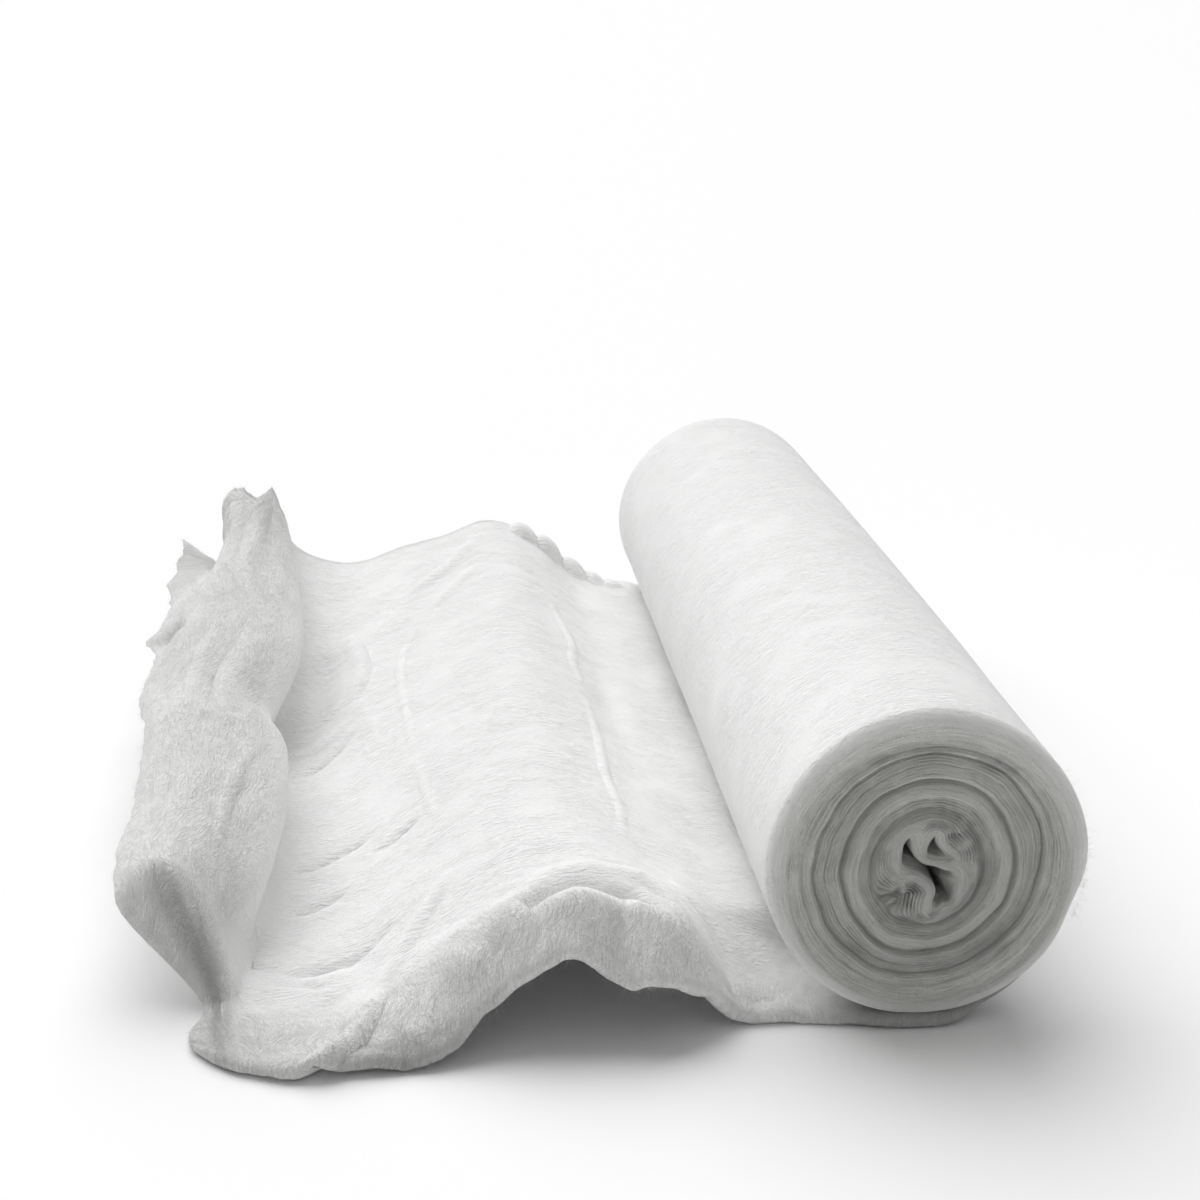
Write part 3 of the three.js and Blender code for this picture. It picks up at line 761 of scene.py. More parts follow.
# Hollows between the crushed turns at the core, on the face that is seen: mm from the axis
MAIN_HOLLOW = [
    (-6.4, 11.5), (-8.3, 9.1), (-8.7, 6.0), (-8.7, 2.6), (-6.4, 0.6), (-2.7, -0.8), (0.3, -3.2),
    (2.3, -6.0), (2.6, -8.3), (1.7, -10.9), (1.6, -15.3), (3.0, -14.4), (5.1, -11.8), (7.9, -10.8),
    (8.7, -7.4), (8.9, -3.6), (8.0, -0.9), (5.3, -0.1), (2.3, 1.1), (-1.4, 2.2), (-3.6, 3.9),
    (-5.0, 5.9), (-6.0, 9.0),
]
MAIN_DEEP = [
    (-6.6, 11.0), (-8.0, 9.0), (-8.4, 5.2), (-5.2, 3.6), (-2.2, 1.8), (0.4, -1.6), (2.4, -5.0),
    (3.0, -8.6), (4.2, -9.8), (7.0, -9.9), (5.6, -6.0), (4.6, -3.9), (4.9, -0.2), (2.3, 1.0),
    (-1.4, 2.1), (-3.6, 3.8), (-5.0, 5.8), (-6.0, 9.0),
]
UPPER_HOLLOW = [
    (1.8, 11.7), (0.3, 9.7), (-0.7, 7.2), (-0.5, 5.6), (2.9, 4.4), (7.3, 4.1), (5.0, 6.2), (2.7, 8.6),
]
UPPER_DEEP = [(1.8, 11.6), (0.4, 9.7), (-0.2, 8.0), (2.6, 7.8), (2.2, 9.4)]

# Where the crushed plies fan apart: centre and radius
FANS = [(9.0, 9.8, 6.5), (-8.2, -8.4, 7.0)]


def winding(angle, y):
    """The roll's radius: a slow wander round it, and a looser wind at its near end, both fading out
    where the roll bears on the cloth, less a slight flat on the right of the near end."""
    free = smooth_step(*BEARING, np.sin(angle))
    wander = sum(high * np.sin(waves * angle + y / twist) for high, waves, twist in WINDING_WANDER)
    swell = NEAR_SWELL + (FAR_SWELL - NEAR_SWELL) * (y + HALF_WIDTH) / CLOTH_WIDTH
    from_flat = np.angle(np.exp(1j * (angle - FLAT_TURN)))
    flat = FLAT_DEEP * bell(from_flat, FLAT_SPREAD) * smooth_step(*FLAT_Y, y)
    return ROLL_RADIUS + free * (wander + swell) - flat


def ply_radius(x, z, core):
    """The radius measured along the plies: the true one less the rings' egg shape and wander, and near
    the core the distance from its hollows, which core gives."""
    radius, angle = np.hypot(x, z), np.arctan2(z, x)
    egg = lambda longer, lifted, leaning: (
        longer * np.cos(2 * angle) + lifted * np.sin(angle) + leaning * np.sin(2 * angle)
    )
    inner, outer = egg(*INNER_EGG), egg(*OUTER_EGG)
    share = smooth_step(*TO_OUTER_RINGS, radius)
    fade = smooth_step(*RINGS_START, radius) * (1 - smooth_step(*RINGS_END, radius))
    uneven = layered(x, z, RING_WANDER)
    ring = radius + fade * (uneven - inner * (1 - share) - outer * share)
    blend = smooth_step(*TO_RINGS, radius)
    return ring * blend + (core + HOLLOW_EDGE) * (1 - blend)


def face_depth(radius, angle, seen):
    """How far a point of an end face lies in from the rim's crest: the rings' table, a fine groove
    between each ply and the next along one long spiral, and the hollows of the crushed core."""
    x, z = radius * np.cos(angle), radius * np.sin(angle)
    main, deep = outline_distance(x, z, rounded(MAIN_HOLLOW)), outline_distance(x, z, rounded(MAIN_DEEP))
    upper = outline_distance(x, z, rounded(UPPER_HOLLOW))
    upper_deep = outline_distance(x, z, rounded(UPPER_DEEP))
    core = np.minimum(main, upper)
    ply = ply_radius(x, z, core)
    depth = np.interp(ply, *zip(*FACE_DEPTH))
    crests = smooth_step(*CRESTS_START, radius) * (1 - smooth_step(*CRESTS_END, radius))
    depth = depth + crests * layered(x, z, CREST_WANDER)

    turns = ply / PLY_PITCH + angle / FULL_TURN
    from_groove = np.abs(turns - np.round(turns)) * PLY_PITCH
    share = np.interp(ply, *zip(*PLY_SHARE)) * (1.0 if seen else FAR_PLY_SHARE)
    uneven = 0.5 + layered(x, z, GROOVE_UNEVENNESS)
    fan = sum(bell(np.hypot(x - fx, z - fz), size) for fx, fz, size in FANS)
    fan = fan * smooth_step(0.3, 1.2, core) * smooth_step(10.2, 12.5, ply)
    groove = (PLY_GROOVE * share + FAN_GROOVE * fan) * uneven
    depth = depth + groove * bell(from_groove, 0.28 + 0.12 * fan)

    slope = lambda away, fall: (
        HOLLOW_DEEP * smooth_step(0.5, -1.6, away) + HOLLOW_SLOPE * bell(np.maximum(away, 0), fall)
    )
    hollow = np.where(main < 0, smooth_step(0, -0.8, main), 0) * slope(deep, MAIN_FALL)
    hollow = hollow + smooth_step(0, -0.8, upper) * slope(upper_deep, UPPER_FALL)
    edge_round = 1.0 * bell(np.maximum(core, 0), 0.8)
    return depth + np.where(radius < CORE_REACH, hollow + edge_round, 0), ply


def face_rings(radii, turns, side):
    """Rings of an end face. side is -1 at the near end and 1 at the far one, whose face is the near
    one's, turned round."""
    radius, turn = np.meshgrid(radii, turns, indexing="ij")
    depth, ply = face_depth(radius, turn if side < 0 else np.pi - turn, side < 0)
    return radius, turn, side * (HALF_WIDTH - depth), ply


def rim_rings(turns, side):
    """Rings of an end's rounded rim: a quarter of an ellipse from the face's crest to the body."""
    lean, turn = np.meshgrid(RIM_LEANS, turns, indexing="ij")
    outer = winding(turn, side * BODY_END)
    radius = CREST_RADIUS + (outer - CREST_RADIUS) * np.sin(lean)
    return radius, turn, side * (HALF_WIDTH - RIM_DEPTH * (1 - np.cos(lean))), radius


def roll_parts():
    """The roll's skin in five parts, from its near end to its far one: face, rim, body, rim and face.
    Each is rings of points, given by radius, turn, place along the roll and radius along the plies."""
    turns = np.arange(ROUND_STEPS) / ROUND_STEPS * FULL_TURN - np.pi / 2
    inner_radii = np.arange(FACE_STEP, CREST_RADIUS, FACE_STEP)
    face_radii = np.concatenate([[INNERMOST_RING], inner_radii, [CREST_RADIUS]])
    y, turn = np.meshgrid(np.linspace(-BODY_END, BODY_END, BODY_STEPS + 1)[1:-1], turns, indexing="ij")
    radius = winding(turn, y) + layered(turn * 50, y, WINDING_UNEVENNESS)
    body = radius, turn, y, 0 * y + PAST_FACE
    near_end = [face_rings(face_radii, turns, -1), rim_rings(turns, -1)]
    far_end = [rim_rings(turns, 1), face_rings(face_radii[::FAR_FACE_STRIDE], turns, 1)]
    return near_end + [body] + [[np.flip(values, axis=0) for values in part] for part in far_end]


def closed_rings(grid):
    """Points and faces of a closed shape: rings of points joined one to the next, and at each end a fan
    of triangles to the last ring's middle."""
    rows, columns = grid.shape[:2]
    points = np.concatenate([grid.reshape(-1, 3), [grid[0].mean(axis=0), grid[-1].mean(axis=0)]])
    near_middle, far_middle = rows * columns, rows * columns + 1
    index = np.arange(rows * columns).reshape(rows, columns)
    ahead = np.roll(index, -1, axis=1)
    quads = np.stack([index[:-1], index[1:], ahead[1:], ahead[:-1]], axis=-1).reshape(-1, 4)
    near_fan = np.stack([0 * index[0] + near_middle, index[0], ahead[0], ahead[0]], axis=-1)
    far_fan = np.stack([0 * index[0] + far_middle, ahead[-1], index[-1], index[-1]], axis=-1)
    return points, np.concatenate([quads, near_fan, far_fan])


def wound_places(grid, ply, near_face, far_face):
    """Each corner's place on the cloth in mm, in the order of the closed rings' faces: the length round
    the roll, and the length along its skin, which on an end face follows the plies' radius."""
    run = np.concatenate([[0], np.cumsum(np.linalg.norm(np.diff(grid[:, 0], axis=0), axis=-1))])
    along = CREST_RADIUS + run[:, None] - run[near_face.stop - 1] + 0 * ply
    along[near_face] = ply[near_face]
    along[far_face] = along[far_face.start - 1] + CREST_RADIUS - ply[far_face]
    along = np.concatenate([along, along[:, :1]], axis=1)
    around = ROLL_RADIUS * np.arange(ROUND_STEPS + 1) * FULL_TURN / ROUND_STEPS
    flat = np.stack([np.broadcast_to(around, along.shape), along], axis=-1)
    quads = np.stack([flat[:-1, :-1], flat[1:, :-1], flat[1:, 1:], flat[:-1, 1:]], axis=2)
    fans = np.zeros((2 * ROUND_STEPS, 4, 2))
    return np.concatenate([quads.reshape(-1, 4, 2), fans])


def wound_masks(y, near_face, near_rim, far_rim, far_face):
    """Two shares from 0 to 1 at each point. Shade is painted shade for what lies in from the ends, darker
    the deeper, mostly in the first few mm; it is stored as the depth attribute. Cut is the cut plies, whose
    colours hold painted shade: all of an end face, fading out over its rim."""
    depth, cut = np.zeros(y.shape), np.zeros(y.shape)
    for face in near_face, far_face:
        depth[face] = HALF_WIDTH - np.abs(y[face])
        cut[face] = 1
    around_rim = (1 - RIM_LEANS / RIM_LEANS[-1])[:, None]
    cut[near_rim] = around_rim
    cut[far_rim] = np.flip(around_rim)
    # Painted shade: darker the deeper a point lies in from the end
    shade = 0.75 * smooth_step(0.8, 4.6, depth) + 0.1 * smooth_step(4, 12, depth)
    return shade, cut


def make_wound_roll(material):
    """The wound roll: one closed skin of rings, from the near face's middle out over its rim, along the
    roll and back over the far rim to the far face's middle."""
    parts = roll_parts()
    stops = np.cumsum([len(part[0]) for part in parts])
    near_face, near_rim, _, far_rim, far_face = (
        slice(stop - len(part[0]), stop) for part, stop in zip(parts, stops)
    )
    radius, turn, y, ply = (np.concatenate([part[k] for part in parts]) for k in range(4))
    x, z = radius * np.cos(turn), ROLL_AXIS_HEIGHT + radius * np.sin(turn)
    grid = np.stack([x, y, np.maximum(z, ROLL_BOTTOM)], axis=-1)
    points, faces = closed_rings(grid)
    places = wound_places(grid, ply, near_face, far_face)
    shade, cut = wound_masks(y, near_face, near_rim, far_rim, far_face)
    with_middles = lambda values: np.concatenate([values.ravel(), [values[0, 0], values[-1, 0]]])
    return mesh_piece(
        "wound_roll_cloth", points, faces, places, material,
        depth=with_middles(shade), cut=with_middles(cut),
    )


# Stray fibres

FIBRE_STEPS = 6
FIBRE_SIDES = 3
FIBRE_RADII = (0.03, 0.06)
FIBRE_LENGTHS = (0.4, 2.8)
FIBRE_SPREAD = 0.45
FIBRE_BEND = 0.55
FIBRE_SEED = 71
FIBRE_THINNING = 0.85
FIBRE_ROOT_DEPTH = 0.6
# The rows of cloth where the flap starts and where the near edge's fibres end, as shares of them all
FLAP_ROW, LAST_NEAR_ROW = 0.72, 0.8
# How many fibres stand on each edge
TORN_FIBRES, PRONG_FIBRES, FAR_FIBRES, NEAR_FIBRES, RIM_FIBRES = 620, 420, 260, 900, 900


def make_fibres(roots, outward, lengths, radii, seed, material):
    """Single stray fibres as thin closed tubes, each from its root along outward, bending to one side
    as the square of the distance run and thinning towards its tip."""
    chance = np.random.default_rng(seed)
    count = len(roots)
    bend = chance.normal(0, FIBRE_BEND, (count, 3))
    t = np.linspace(0, 1, FIBRE_STEPS)[None, :, None]
    run = lengths[:, None, None]
    line = roots[:, None] + run * (outward[:, None] * t + bend[:, None] * t**2)
    ahead = np.gradient(line, axis=1)
    ahead /= np.linalg.norm(ahead, axis=-1, keepdims=True)
    side = np.cross(ahead, chance.normal(0, 1, (count, 1, 3)))
    side /= np.linalg.norm(side, axis=-1, keepdims=True)
    other = np.cross(ahead, side)
    turn = np.arange(FIBRE_SIDES) / FIBRE_SIDES * FULL_TURN
    ring = side[:, :, None] * np.cos(turn)[:, None] + other[:, :, None] * np.sin(turn)[:, None]
    thin = radii[:, None, None, None] * (1 - FIBRE_THINNING * t[..., None])
    points = (line[:, :, None] + ring * thin).reshape(-1, 3)
    points[:, 2] = np.maximum(points[:, 2], 0.05)

    index = np.arange(len(points)).reshape(count, FIBRE_STEPS, FIBRE_SIDES)
    beside = np.roll(index, -1, axis=2)
    walls = np.stack([index[:, :-1], beside[:, :-1], beside[:, 1:], index[:, 1:]], axis=-1).reshape(-1, 4)
    cap = lambda ends, order: np.stack([ends[:, k] for k in order], axis=-1)
    faces = np.concatenate([walls, cap(index[:, 0], (2, 1, 0, 0)), cap(index[:, -1], (0, 1, 2, 2))])
    flat = points[faces][..., :2]
    full = np.ones(len(points))
    return mesh_piece(
        "stray_fibres", points, faces, flat, material, fluff=full, pressed=0 * full, dull=0 * full
    )


def fibre_roots(cloth, chance):
    """Where stray fibres stand, and which way they set off: from the cloth's torn, far and near edges,
    and round the rim of the roll's near end."""
    def pick(edge, inside, count, low=0, high=None):
        chosen = chance.integers(low, high or len(edge), count)
        away = edge[chosen] - inside[chosen]
        away /= np.linalg.norm(away, axis=-1, keepdims=True)
        return edge[chosen] - FIBRE_ROOT_DEPTH * away, away

    rows = len(cloth)
    flap_row = int(rows * FLAP_ROW)
    torn = pick(cloth[-1], cloth[-5], TORN_FIBRES, 8)
    prongs = pick(cloth[:, -1], cloth[:, -7], PRONG_FIBRES, flap_row)
    far = pick(cloth[:, -1], cloth[:, -7], FAR_FIBRES, 30, flap_row)
    near = pick(cloth[:, 0], cloth[:, 6], NEAR_FIBRES, 30, int(rows * LAST_NEAR_ROW))
    angle = chance.uniform(-0.4, np.pi + 0.6, RIM_FIBRES)
    lean = chance.uniform(0.5, 1.4, RIM_FIBRES)
    radius = ROLL_RADIUS + NEAR_SWELL - 1.0 - RIM_REACH * (1 - np.sin(lean))
    y = -(HALF_WIDTH - RIM_DEPTH * (1 - np.cos(lean))) + 0.3
    rim = np.stack([radius * np.cos(angle), y, ROLL_AXIS_HEIGHT + radius * np.sin(angle)], axis=-1)
    out = np.stack([np.cos(angle) * np.sin(lean), -np.cos(lean), np.sin(angle) * np.sin(lean)], axis=-1)
    edges = torn, prongs, far, near, (rim, out)
    roots, outward = (np.concatenate([edge[k] for edge in edges]) for k in (0, 1))
    return roots, outward + chance.normal(0, FIBRE_SPREAD, outward.shape)


# Materials


def group(name, inputs, outputs):
    """An empty node group with named number or vector inputs and outputs."""
    tree = bpy.data.node_groups.new(name, "ShaderNodeTree")
    for label, kind, value in inputs:
        socket = tree.interface.new_socket(name=label, in_out="INPUT", socket_type=kind)
        if value is not None:
            socket.default_value = value
    for label, kind in outputs:
        tree.interface.new_socket(name=label, in_out="OUTPUT", socket_type=kind)
    return tree


class Nodes:
    """Short calls that add and join nodes in one tree."""

    def __init__(self, tree):
        self.tree = tree

    def add(self, kind, inputs=None, **settings):
        node = self.tree.nodes.new(kind)
        for key, value in settings.items():
            setattr(node, key, value)
        for key, value in (inputs or {}).items():
            self.put(node.inputs[key], value)
        return node

    def put(self, socket, value):
        if isinstance(value, bpy.types.NodeSocket):
            self.tree.links.new(value, socket)
        else:
            socket.default_value = value

    def math(self, operation, *values, clamp=False):
        node = self.add("ShaderNodeMath", operation=operation, use_clamp=clamp)
        for socket, value in zip(node.inputs, values):
            self.put(socket, value)
        return node.outputs[0]

    def stretch(self, vector, scale):
        node = self.add("ShaderNodeVectorMath", operation="MULTIPLY")
        self.put(node.inputs[0], vector)
        self.put(node.inputs[1], scale)
        return node.outputs[0]

    def noise(self, vector, scale, detail=2.0, roughness=0.5, distortion=0.0):
        node = self.add("ShaderNodeTexNoise")
        for key, value in dict(
            Vector=vector, Scale=scale, Detail=detail, Roughness=roughness, Distortion=distortion
        ).items():
            self.put(node.inputs[key], value)
        return node.outputs["Fac"]

    def mix(self, share, low, high):
        node = self.add("ShaderNodeMix", data_type="RGBA")
        self.put(node.inputs["Factor"], share)
        self.put(node.inputs["A"], low)
        self.put(node.inputs["B"], high)
        return node.outputs["Result"]

    def blend(self, share, low, high):
        node = self.add("ShaderNodeMix", data_type="FLOAT")
        self.put(node.inputs["Factor"], share)
        self.put(node.inputs["A"], low)
        self.put(node.inputs["B"], high)
        return node.outputs["Result"]


def crinkled_gauze_group():
    """The gauze face: close ripples whose crests run along the cloth, over a fine felt of fibres. Place is
    in metres on the cloth. Height and Tone go from 0 to 1. Tone is partly random clouds and flecks and
    partly painted shade, darker in the ripples' valleys."""
    tree = group(
        "crinkled_gauze",
        [
            ("Place", "NodeSocketVector", None),
            ("Ripple Length", "NodeSocketFloat", 0.004),
            ("Ripple Width", "NodeSocketFloat", 0.0011),
        ],
        [("Height", "NodeSocketFloat"), ("Tone", "NodeSocketFloat")],
    )
    n = Nodes(tree)
    given, out = n.add("NodeGroupInput"), n.add("NodeGroupOutput")
    place = given.outputs["Place"]
    scale = n.add("ShaderNodeCombineXYZ")
    n.put(scale.inputs[0], n.math("DIVIDE", 1.0, given.outputs["Ripple Length"]))
    n.put(scale.inputs[1], n.math("DIVIDE", 1.0, given.outputs["Ripple Width"]))
    wander = n.noise(place, 110.0, 2.0)
    bend = n.add("ShaderNodeCombineXYZ")
    n.put(bend.inputs[1], n.math("MULTIPLY", wander, 0.005))
    bent = n.add("ShaderNodeVectorMath", operation="ADD")
    n.put(bent.inputs[0], place)
    n.put(bent.inputs[1], bend.outputs[0])
    ripple = n.noise(n.stretch(bent.outputs[0], scale.outputs[0]), 1.0, 2.0, 0.5, 0.4)
    crisp = n.add("ShaderNodeMapRange", {"Value": ripple, "From Min": 0.3, "From Max": 0.7}).outputs[0]
    patches = n.noise(place, 38.0, 2.0, 0.5)
    clear = n.add("ShaderNodeMapRange", {"Value": patches, "From Min": 0.25, "From Max": 0.5})
    crisp = n.blend(clear.outputs[0], 0.5, crisp)
    fibre = n.noise(n.stretch(place, (0.6, 1.0, 1.0)), 1500.0, 3.0, 0.7, 0.8)
    height = n.math("ADD", n.math("MULTIPLY", crisp, 0.55), n.math("MULTIPLY", fibre, 0.45))
    cloud = n.noise(place, 60.0, 4.0, 0.6)
    fleck = n.noise(n.stretch(place, (0.35, 1.0, 1.0)), 700.0, 2.0, 0.6)
    # Painted shade: part of the tone follows the ripples' height, darker in their valleys
    flecks_and_ripple_shade = n.math("ADD", n.math("MULTIPLY", fleck, 0.5), n.math("MULTIPLY", crisp, 0.5))
    blended = n.math("ADD", n.math("MULTIPLY", cloud, 0.5), n.math("MULTIPLY", flecks_and_ripple_shade, 0.5))
    tone = n.add("ShaderNodeMapRange", {"Value": blended, "From Min": 0.36, "From Max": 0.64}).outputs[0]
    n.put(out.inputs["Height"], height)
    n.put(out.inputs["Tone"], tone)
    return tree


def cotton_wool_group():
    """Bare cotton wool: fine fibres in two crossing directions over soft clumps. Height and Tone go
    from 0 to 1."""
    tree = group(
        "cotton_wool",
        [("Place", "NodeSocketVector", None), ("Clump", "NodeSocketFloat", 0.006)],
        [("Height", "NodeSocketFloat"), ("Tone", "NodeSocketFloat")],
    )
    n = Nodes(tree)
    given, out = n.add("NodeGroupInput"), n.add("NodeGroupOutput")
    place = given.outputs["Place"]
    along = n.stretch(place, (1.0, 0.5, 1.0))
    clump = n.noise(along, n.math("DIVIDE", 1.0, given.outputs["Clump"]), 5.0, 0.62, 0.9)
    first = n.noise(n.stretch(place, (0.22, 1.0, 1.0)), 1500.0, 2.0, 0.6, 1.2)
    second = n.noise(n.stretch(place, (1.0, 0.25, 1.0)), 1300.0, 2.0, 0.6, 1.2)
    fibres = n.math("ADD", n.math("MULTIPLY", first, 0.3), n.math("MULTIPLY", second, 0.7))
    height = n.math("ADD", n.math("MULTIPLY", clump, 0.55), n.math("MULTIPLY", fibres, 0.55))
    cloud = n.noise(along, 60.0, 5.0, 0.65, 0.5)
    soft = n.math("ADD", n.math("MULTIPLY", cloud, 0.4), n.math("MULTIPLY", clump, 0.25))
    blended = n.math("ADD", soft, n.math("MULTIPLY", fibres, 0.35))
    tone = n.add("ShaderNodeMapRange", {"Value": blended, "From Min": 0.40, "From Max": 0.58}).outputs[0]
    n.put(out.inputs["Height"], height)
    n.put(out.inputs["Tone"], tone)
    return tree


def use_group(nodes, tree, inputs):
    """One placed copy of a node group."""
    node = nodes.add("ShaderNodeGroup", node_tree=tree)
    for key, value in inputs.items():
        nodes.put(node.inputs[key], value)
    return node


def soft_cotton(name):
    """A material with a matt, slightly translucent cotton shader, ready for its colour and bump."""
    material = bpy.data.materials.new(name)
    material.use_nodes = True
    material.node_tree.nodes.clear()
    n = Nodes(material.node_tree)
    shader = n.add("ShaderNodeBsdfPrincipled")
    shader.inputs["Roughness"].default_value = 0.95
    shader.inputs["Specular IOR Level"].default_value = 0.15
    shader.inputs["Subsurface Weight"].default_value = 0.25
    shader.inputs["Subsurface Radius"].default_value = (1.0, 0.98, 0.94)
    shader.inputs["Subsurface Scale"].default_value = 0.002
    shader.inputs["Sheen Weight"].default_value = 0.2
    shader.inputs["Sheen Roughness"].default_value = 0.5
    out = n.add("ShaderNodeOutputMaterial")
    n.put(out.inputs["Surface"], shader.outputs["BSDF"])
    return material, n, shader


GAUZE_LIGHT = (0.955, 0.955, 0.95, 1)
GAUZE_DARK = (0.89, 0.89, 0.885, 1)
# Painted highlight: the paler gauze along the sharp creases
GAUZE_CREASE_HIGHLIGHT = (0.99, 0.99, 0.985, 1)
WOOL_LIGHT = (0.985, 0.985, 0.975, 1)
WOOL_DARK = (0.83, 0.83, 0.82, 1)
# Painted shade: the grey that the wool is darkened to where it lies in the shade
WOOL_PAINTED_SHADE = (0.36, 0.36, 0.35, 1)
# The cut plies' colours: streaks between light and mid follow the plies, and their grey, darker than the
# gauze, is painted shade for end faces turned away from the light
PLY_LIGHT = (0.88, 0.885, 0.85, 1)
PLY_MID = (0.54, 0.545, 0.515, 1)
# Painted shade in the end faces' grooves and hollows
PLY_GROOVE_SHADE = (0.36, 0.36, 0.34, 1)
GAUZE_RELIEF = 0.0008
WOOL_RELIEF = 0.0036
PLY_RELIEF = 0.0009


def loose_tissue(gauze, wool):
    """The drawn-out cloth: crinkled gauze face, turning to bare wool at the flap and the edges."""
    material, n, shader = soft_cotton("loose_tissue")
    place = n.add("ShaderNodeUVMap", uv_map="cloth").outputs["UV"]
    fluff = n.add("ShaderNodeAttribute", attribute_name="fluff").outputs["Fac"]
    face = use_group(n, gauze, {"Place": place})
    bare = use_group(n, wool, {"Place": place})
    gauze_colour = n.mix(face.outputs["Tone"], GAUZE_DARK, GAUZE_LIGHT)
    wool_colour = n.mix(bare.outputs["Tone"], WOOL_DARK, WOOL_LIGHT)
    # Painted shade: the wool is darkened to grey where it lies in the shade
    dull = n.add("ShaderNodeAttribute", attribute_name="dull").outputs["Fac"]
    wool_colour = n.mix(dull, wool_colour, WOOL_PAINTED_SHADE)
    # Painted highlight: the gauze is painted paler along the sharp creases
    pressed = n.add("ShaderNodeAttribute", attribute_name="pressed").outputs["Fac"]
    gauze_colour = n.mix(pressed, gauze_colour, GAUZE_CREASE_HIGHLIGHT)
    n.put(shader.inputs["Base Color"], n.mix(fluff, gauze_colour, wool_colour))
    relief = n.math("MULTIPLY", face.outputs["Height"], GAUZE_RELIEF)
    height = n.blend(fluff, relief, n.math("MULTIPLY", bare.outputs["Height"], WOOL_RELIEF))
    bump = n.add("ShaderNodeBump", {"Height": height, "Distance": 1.0, "Strength": 1.0})
    n.put(shader.inputs["Normal"], bump.outputs["Normal"])
    return material


def wound_tissue(gauze):
    """The wound cloth: crinkled gauze on the roll's side, and on its ends the cut plies, streaked along the
    plies, in greys darkened by painted shade because the ends face away from the light, and darker still in
    their grooves and hollows by more painted shade."""
    material, n, shader = soft_cotton("wound_tissue")
    place = n.add("ShaderNodeUVMap", uv_map="cloth").outputs["UV"]
    # Painted shade: the depth attribute darkens the plies in their grooves and hollows
    depth = n.add("ShaderNodeAttribute", attribute_name="depth").outputs["Fac"]
    cut = n.add("ShaderNodeAttribute", attribute_name="cut").outputs["Fac"]
    face = use_group(n, gauze, {"Place": place})
    plies = n.noise(n.stretch(place, (42.0, 1150.0, 1.0)), 1.0, 2.0, 0.55, 0.3)
    streak = n.noise(n.stretch(place, (100.0, 3000.0, 1.0)), 1.0, 3.0, 0.7, 0.2)
    grain = n.noise(place, 1500.0, 2.0, 0.6, 0.5)
    lines = n.math("ADD", n.math("MULTIPLY", plies, 0.5), n.math("MULTIPLY", streak, 0.5))
    blurred = n.math("ADD", n.math("MULTIPLY", lines, 0.75), n.math("MULTIPLY", grain, 0.25))
    spread = n.add("ShaderNodeMapRange", {"Value": blurred, "From Min": 0.33, "From Max": 0.67})
    ply_tone = spread.outputs[0]
    light = n.mix(ply_tone, PLY_MID, PLY_LIGHT)
    ply_colour = n.mix(depth, light, PLY_GROOVE_SHADE)
    gauze_colour = n.mix(face.outputs["Tone"], GAUZE_DARK, GAUZE_LIGHT)
    n.put(shader.inputs["Base Color"], n.mix(cut, gauze_colour, ply_colour))
    relief = n.math("MULTIPLY", face.outputs["Height"], GAUZE_RELIEF)
    height = n.blend(cut, relief, n.math("MULTIPLY", ply_tone, PLY_RELIEF))
    bump = n.add("ShaderNodeBump", {"Height": height, "Distance": 1.0, "Strength": 1.0})
    n.put(shader.inputs["Normal"], bump.outputs["Normal"])
    return material


# Stage, light and camera

FLOOR_HALF_WIDTH = 60.0
FLOOR_DEPTH = 0.0002
FLOOR_COLOUR = (0.97, 0.97, 0.97, 1)
ROOM_LIGHT = 0.33
WINDOW_LIGHT = 2.8
WINDOW_SPREAD = 70
WINDOW_LEAN = (-36, -16, 0)


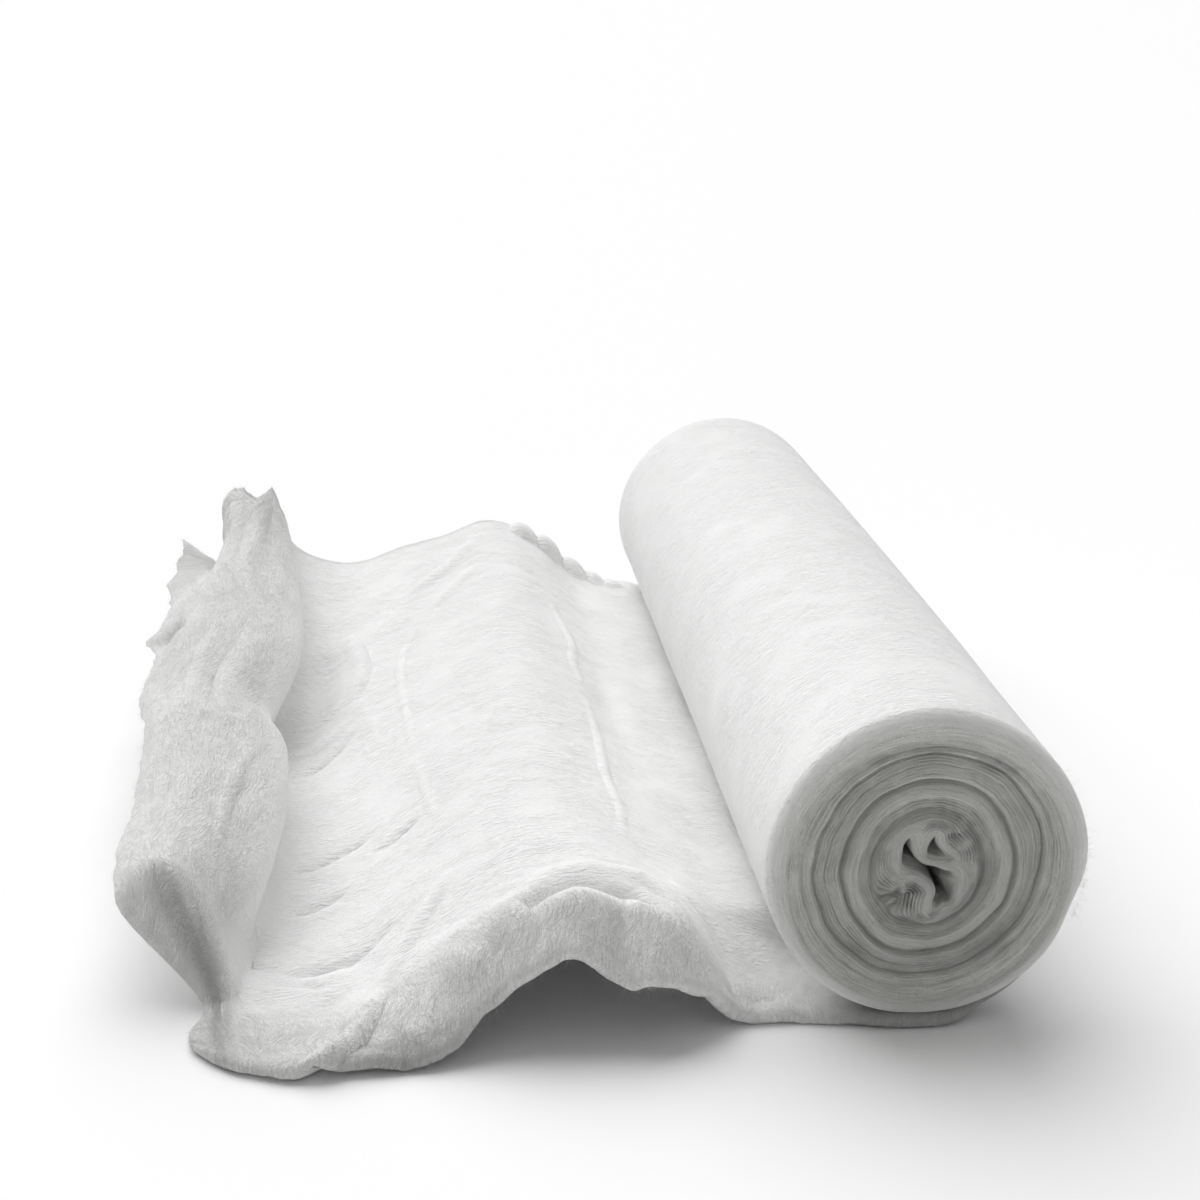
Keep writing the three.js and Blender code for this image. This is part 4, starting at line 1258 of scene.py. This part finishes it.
def make_floor():
    """A wide, plain, pale floor."""
    half = FLOOR_HALF_WIDTH
    mesh = bpy.data.meshes.new("table_top")
    corners = [(-half, -half), (half, -half), (half, half), (-half, half)]
    mesh.from_pydata([(x, y, -FLOOR_DEPTH) for x, y in corners], [], [(0, 1, 2, 3)])
    floor = bpy.data.objects.new("table_top", mesh)
    bpy.context.scene.collection.objects.link(floor)
    material = bpy.data.materials.new("pale_table")
    material.use_nodes = True
    shader = material.node_tree.nodes["Principled BSDF"]
    shader.inputs["Base Color"].default_value = FLOOR_COLOUR
    shader.inputs["Roughness"].default_value = 0.9
    shader.inputs["Specular IOR Level"].default_value = 0.1
    mesh.materials.append(material)
    floor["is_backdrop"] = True


def make_light():
    """A wide soft light from above, behind and a little to the left, over a dim even room."""
    world = bpy.data.worlds.new("room")
    world.use_nodes = True
    background = world.node_tree.nodes["Background"]
    background.inputs["Color"].default_value = (1, 1, 1, 1)
    background.inputs["Strength"].default_value = ROOM_LIGHT
    bpy.context.scene.world = world
    lamp = bpy.data.lights.new("window", "SUN")
    lamp.energy = WINDOW_LIGHT
    lamp.angle = np.radians(WINDOW_SPREAD)
    window = bpy.data.objects.new("window", lamp)
    window.rotation_euler = np.radians(WINDOW_LEAN)
    bpy.context.scene.collection.objects.link(window)


def make_camera():
    """The camera that the photograph's view was found to have."""
    lens = bpy.data.cameras.new("camera")
    lens.lens = CAMERA_LENS
    lens.sensor_width = CAMERA_SENSOR
    lens.clip_start, lens.clip_end = 0.01, 200
    camera = bpy.data.objects.new("camera", lens)
    camera.location = (np.array(CAMERA_PLACE) + PLACE) * MM
    camera.rotation_euler = (np.radians(90 - CAMERA_PITCH), 0, np.radians(CAMERA_YAW))
    bpy.context.scene.collection.objects.link(camera)
    bpy.context.scene.camera = camera


make_camera()
make_light()
make_floor()
bpy.context.scene.view_settings.view_transform = "Standard"

gauze, wool = crinkled_gauze_group(), cotton_wool_group()

roll_piece = make_wound_roll(wound_tissue(gauze))
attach(roll_piece, "root")
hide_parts("wound_roll")

loose_material = loose_tissue(gauze, wool)
cloth_piece, cloth_middle = make_loose_end(loose_material)
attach(cloth_piece, "root")
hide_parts("loose_end")

chance = np.random.default_rng(FIBRE_SEED)
roots, outward = fibre_roots(cloth_middle, chance)
shortest, longest = FIBRE_LENGTHS
lengths = np.clip(chance.gamma(2.0, 0.5, len(roots)) + shortest, shortest, longest)
radii = chance.uniform(*FIBRE_RADII, len(roots))
fibre_piece = make_fibres(roots, outward, lengths, radii, FIBRE_SEED + 1, loose_material)
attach(fibre_piece, "root")

visual_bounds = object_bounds()
({
        "cad": [list(corner) for corner in cad_bounds],
        "visual": [list(corner) for corner in visual_bounds],
    })
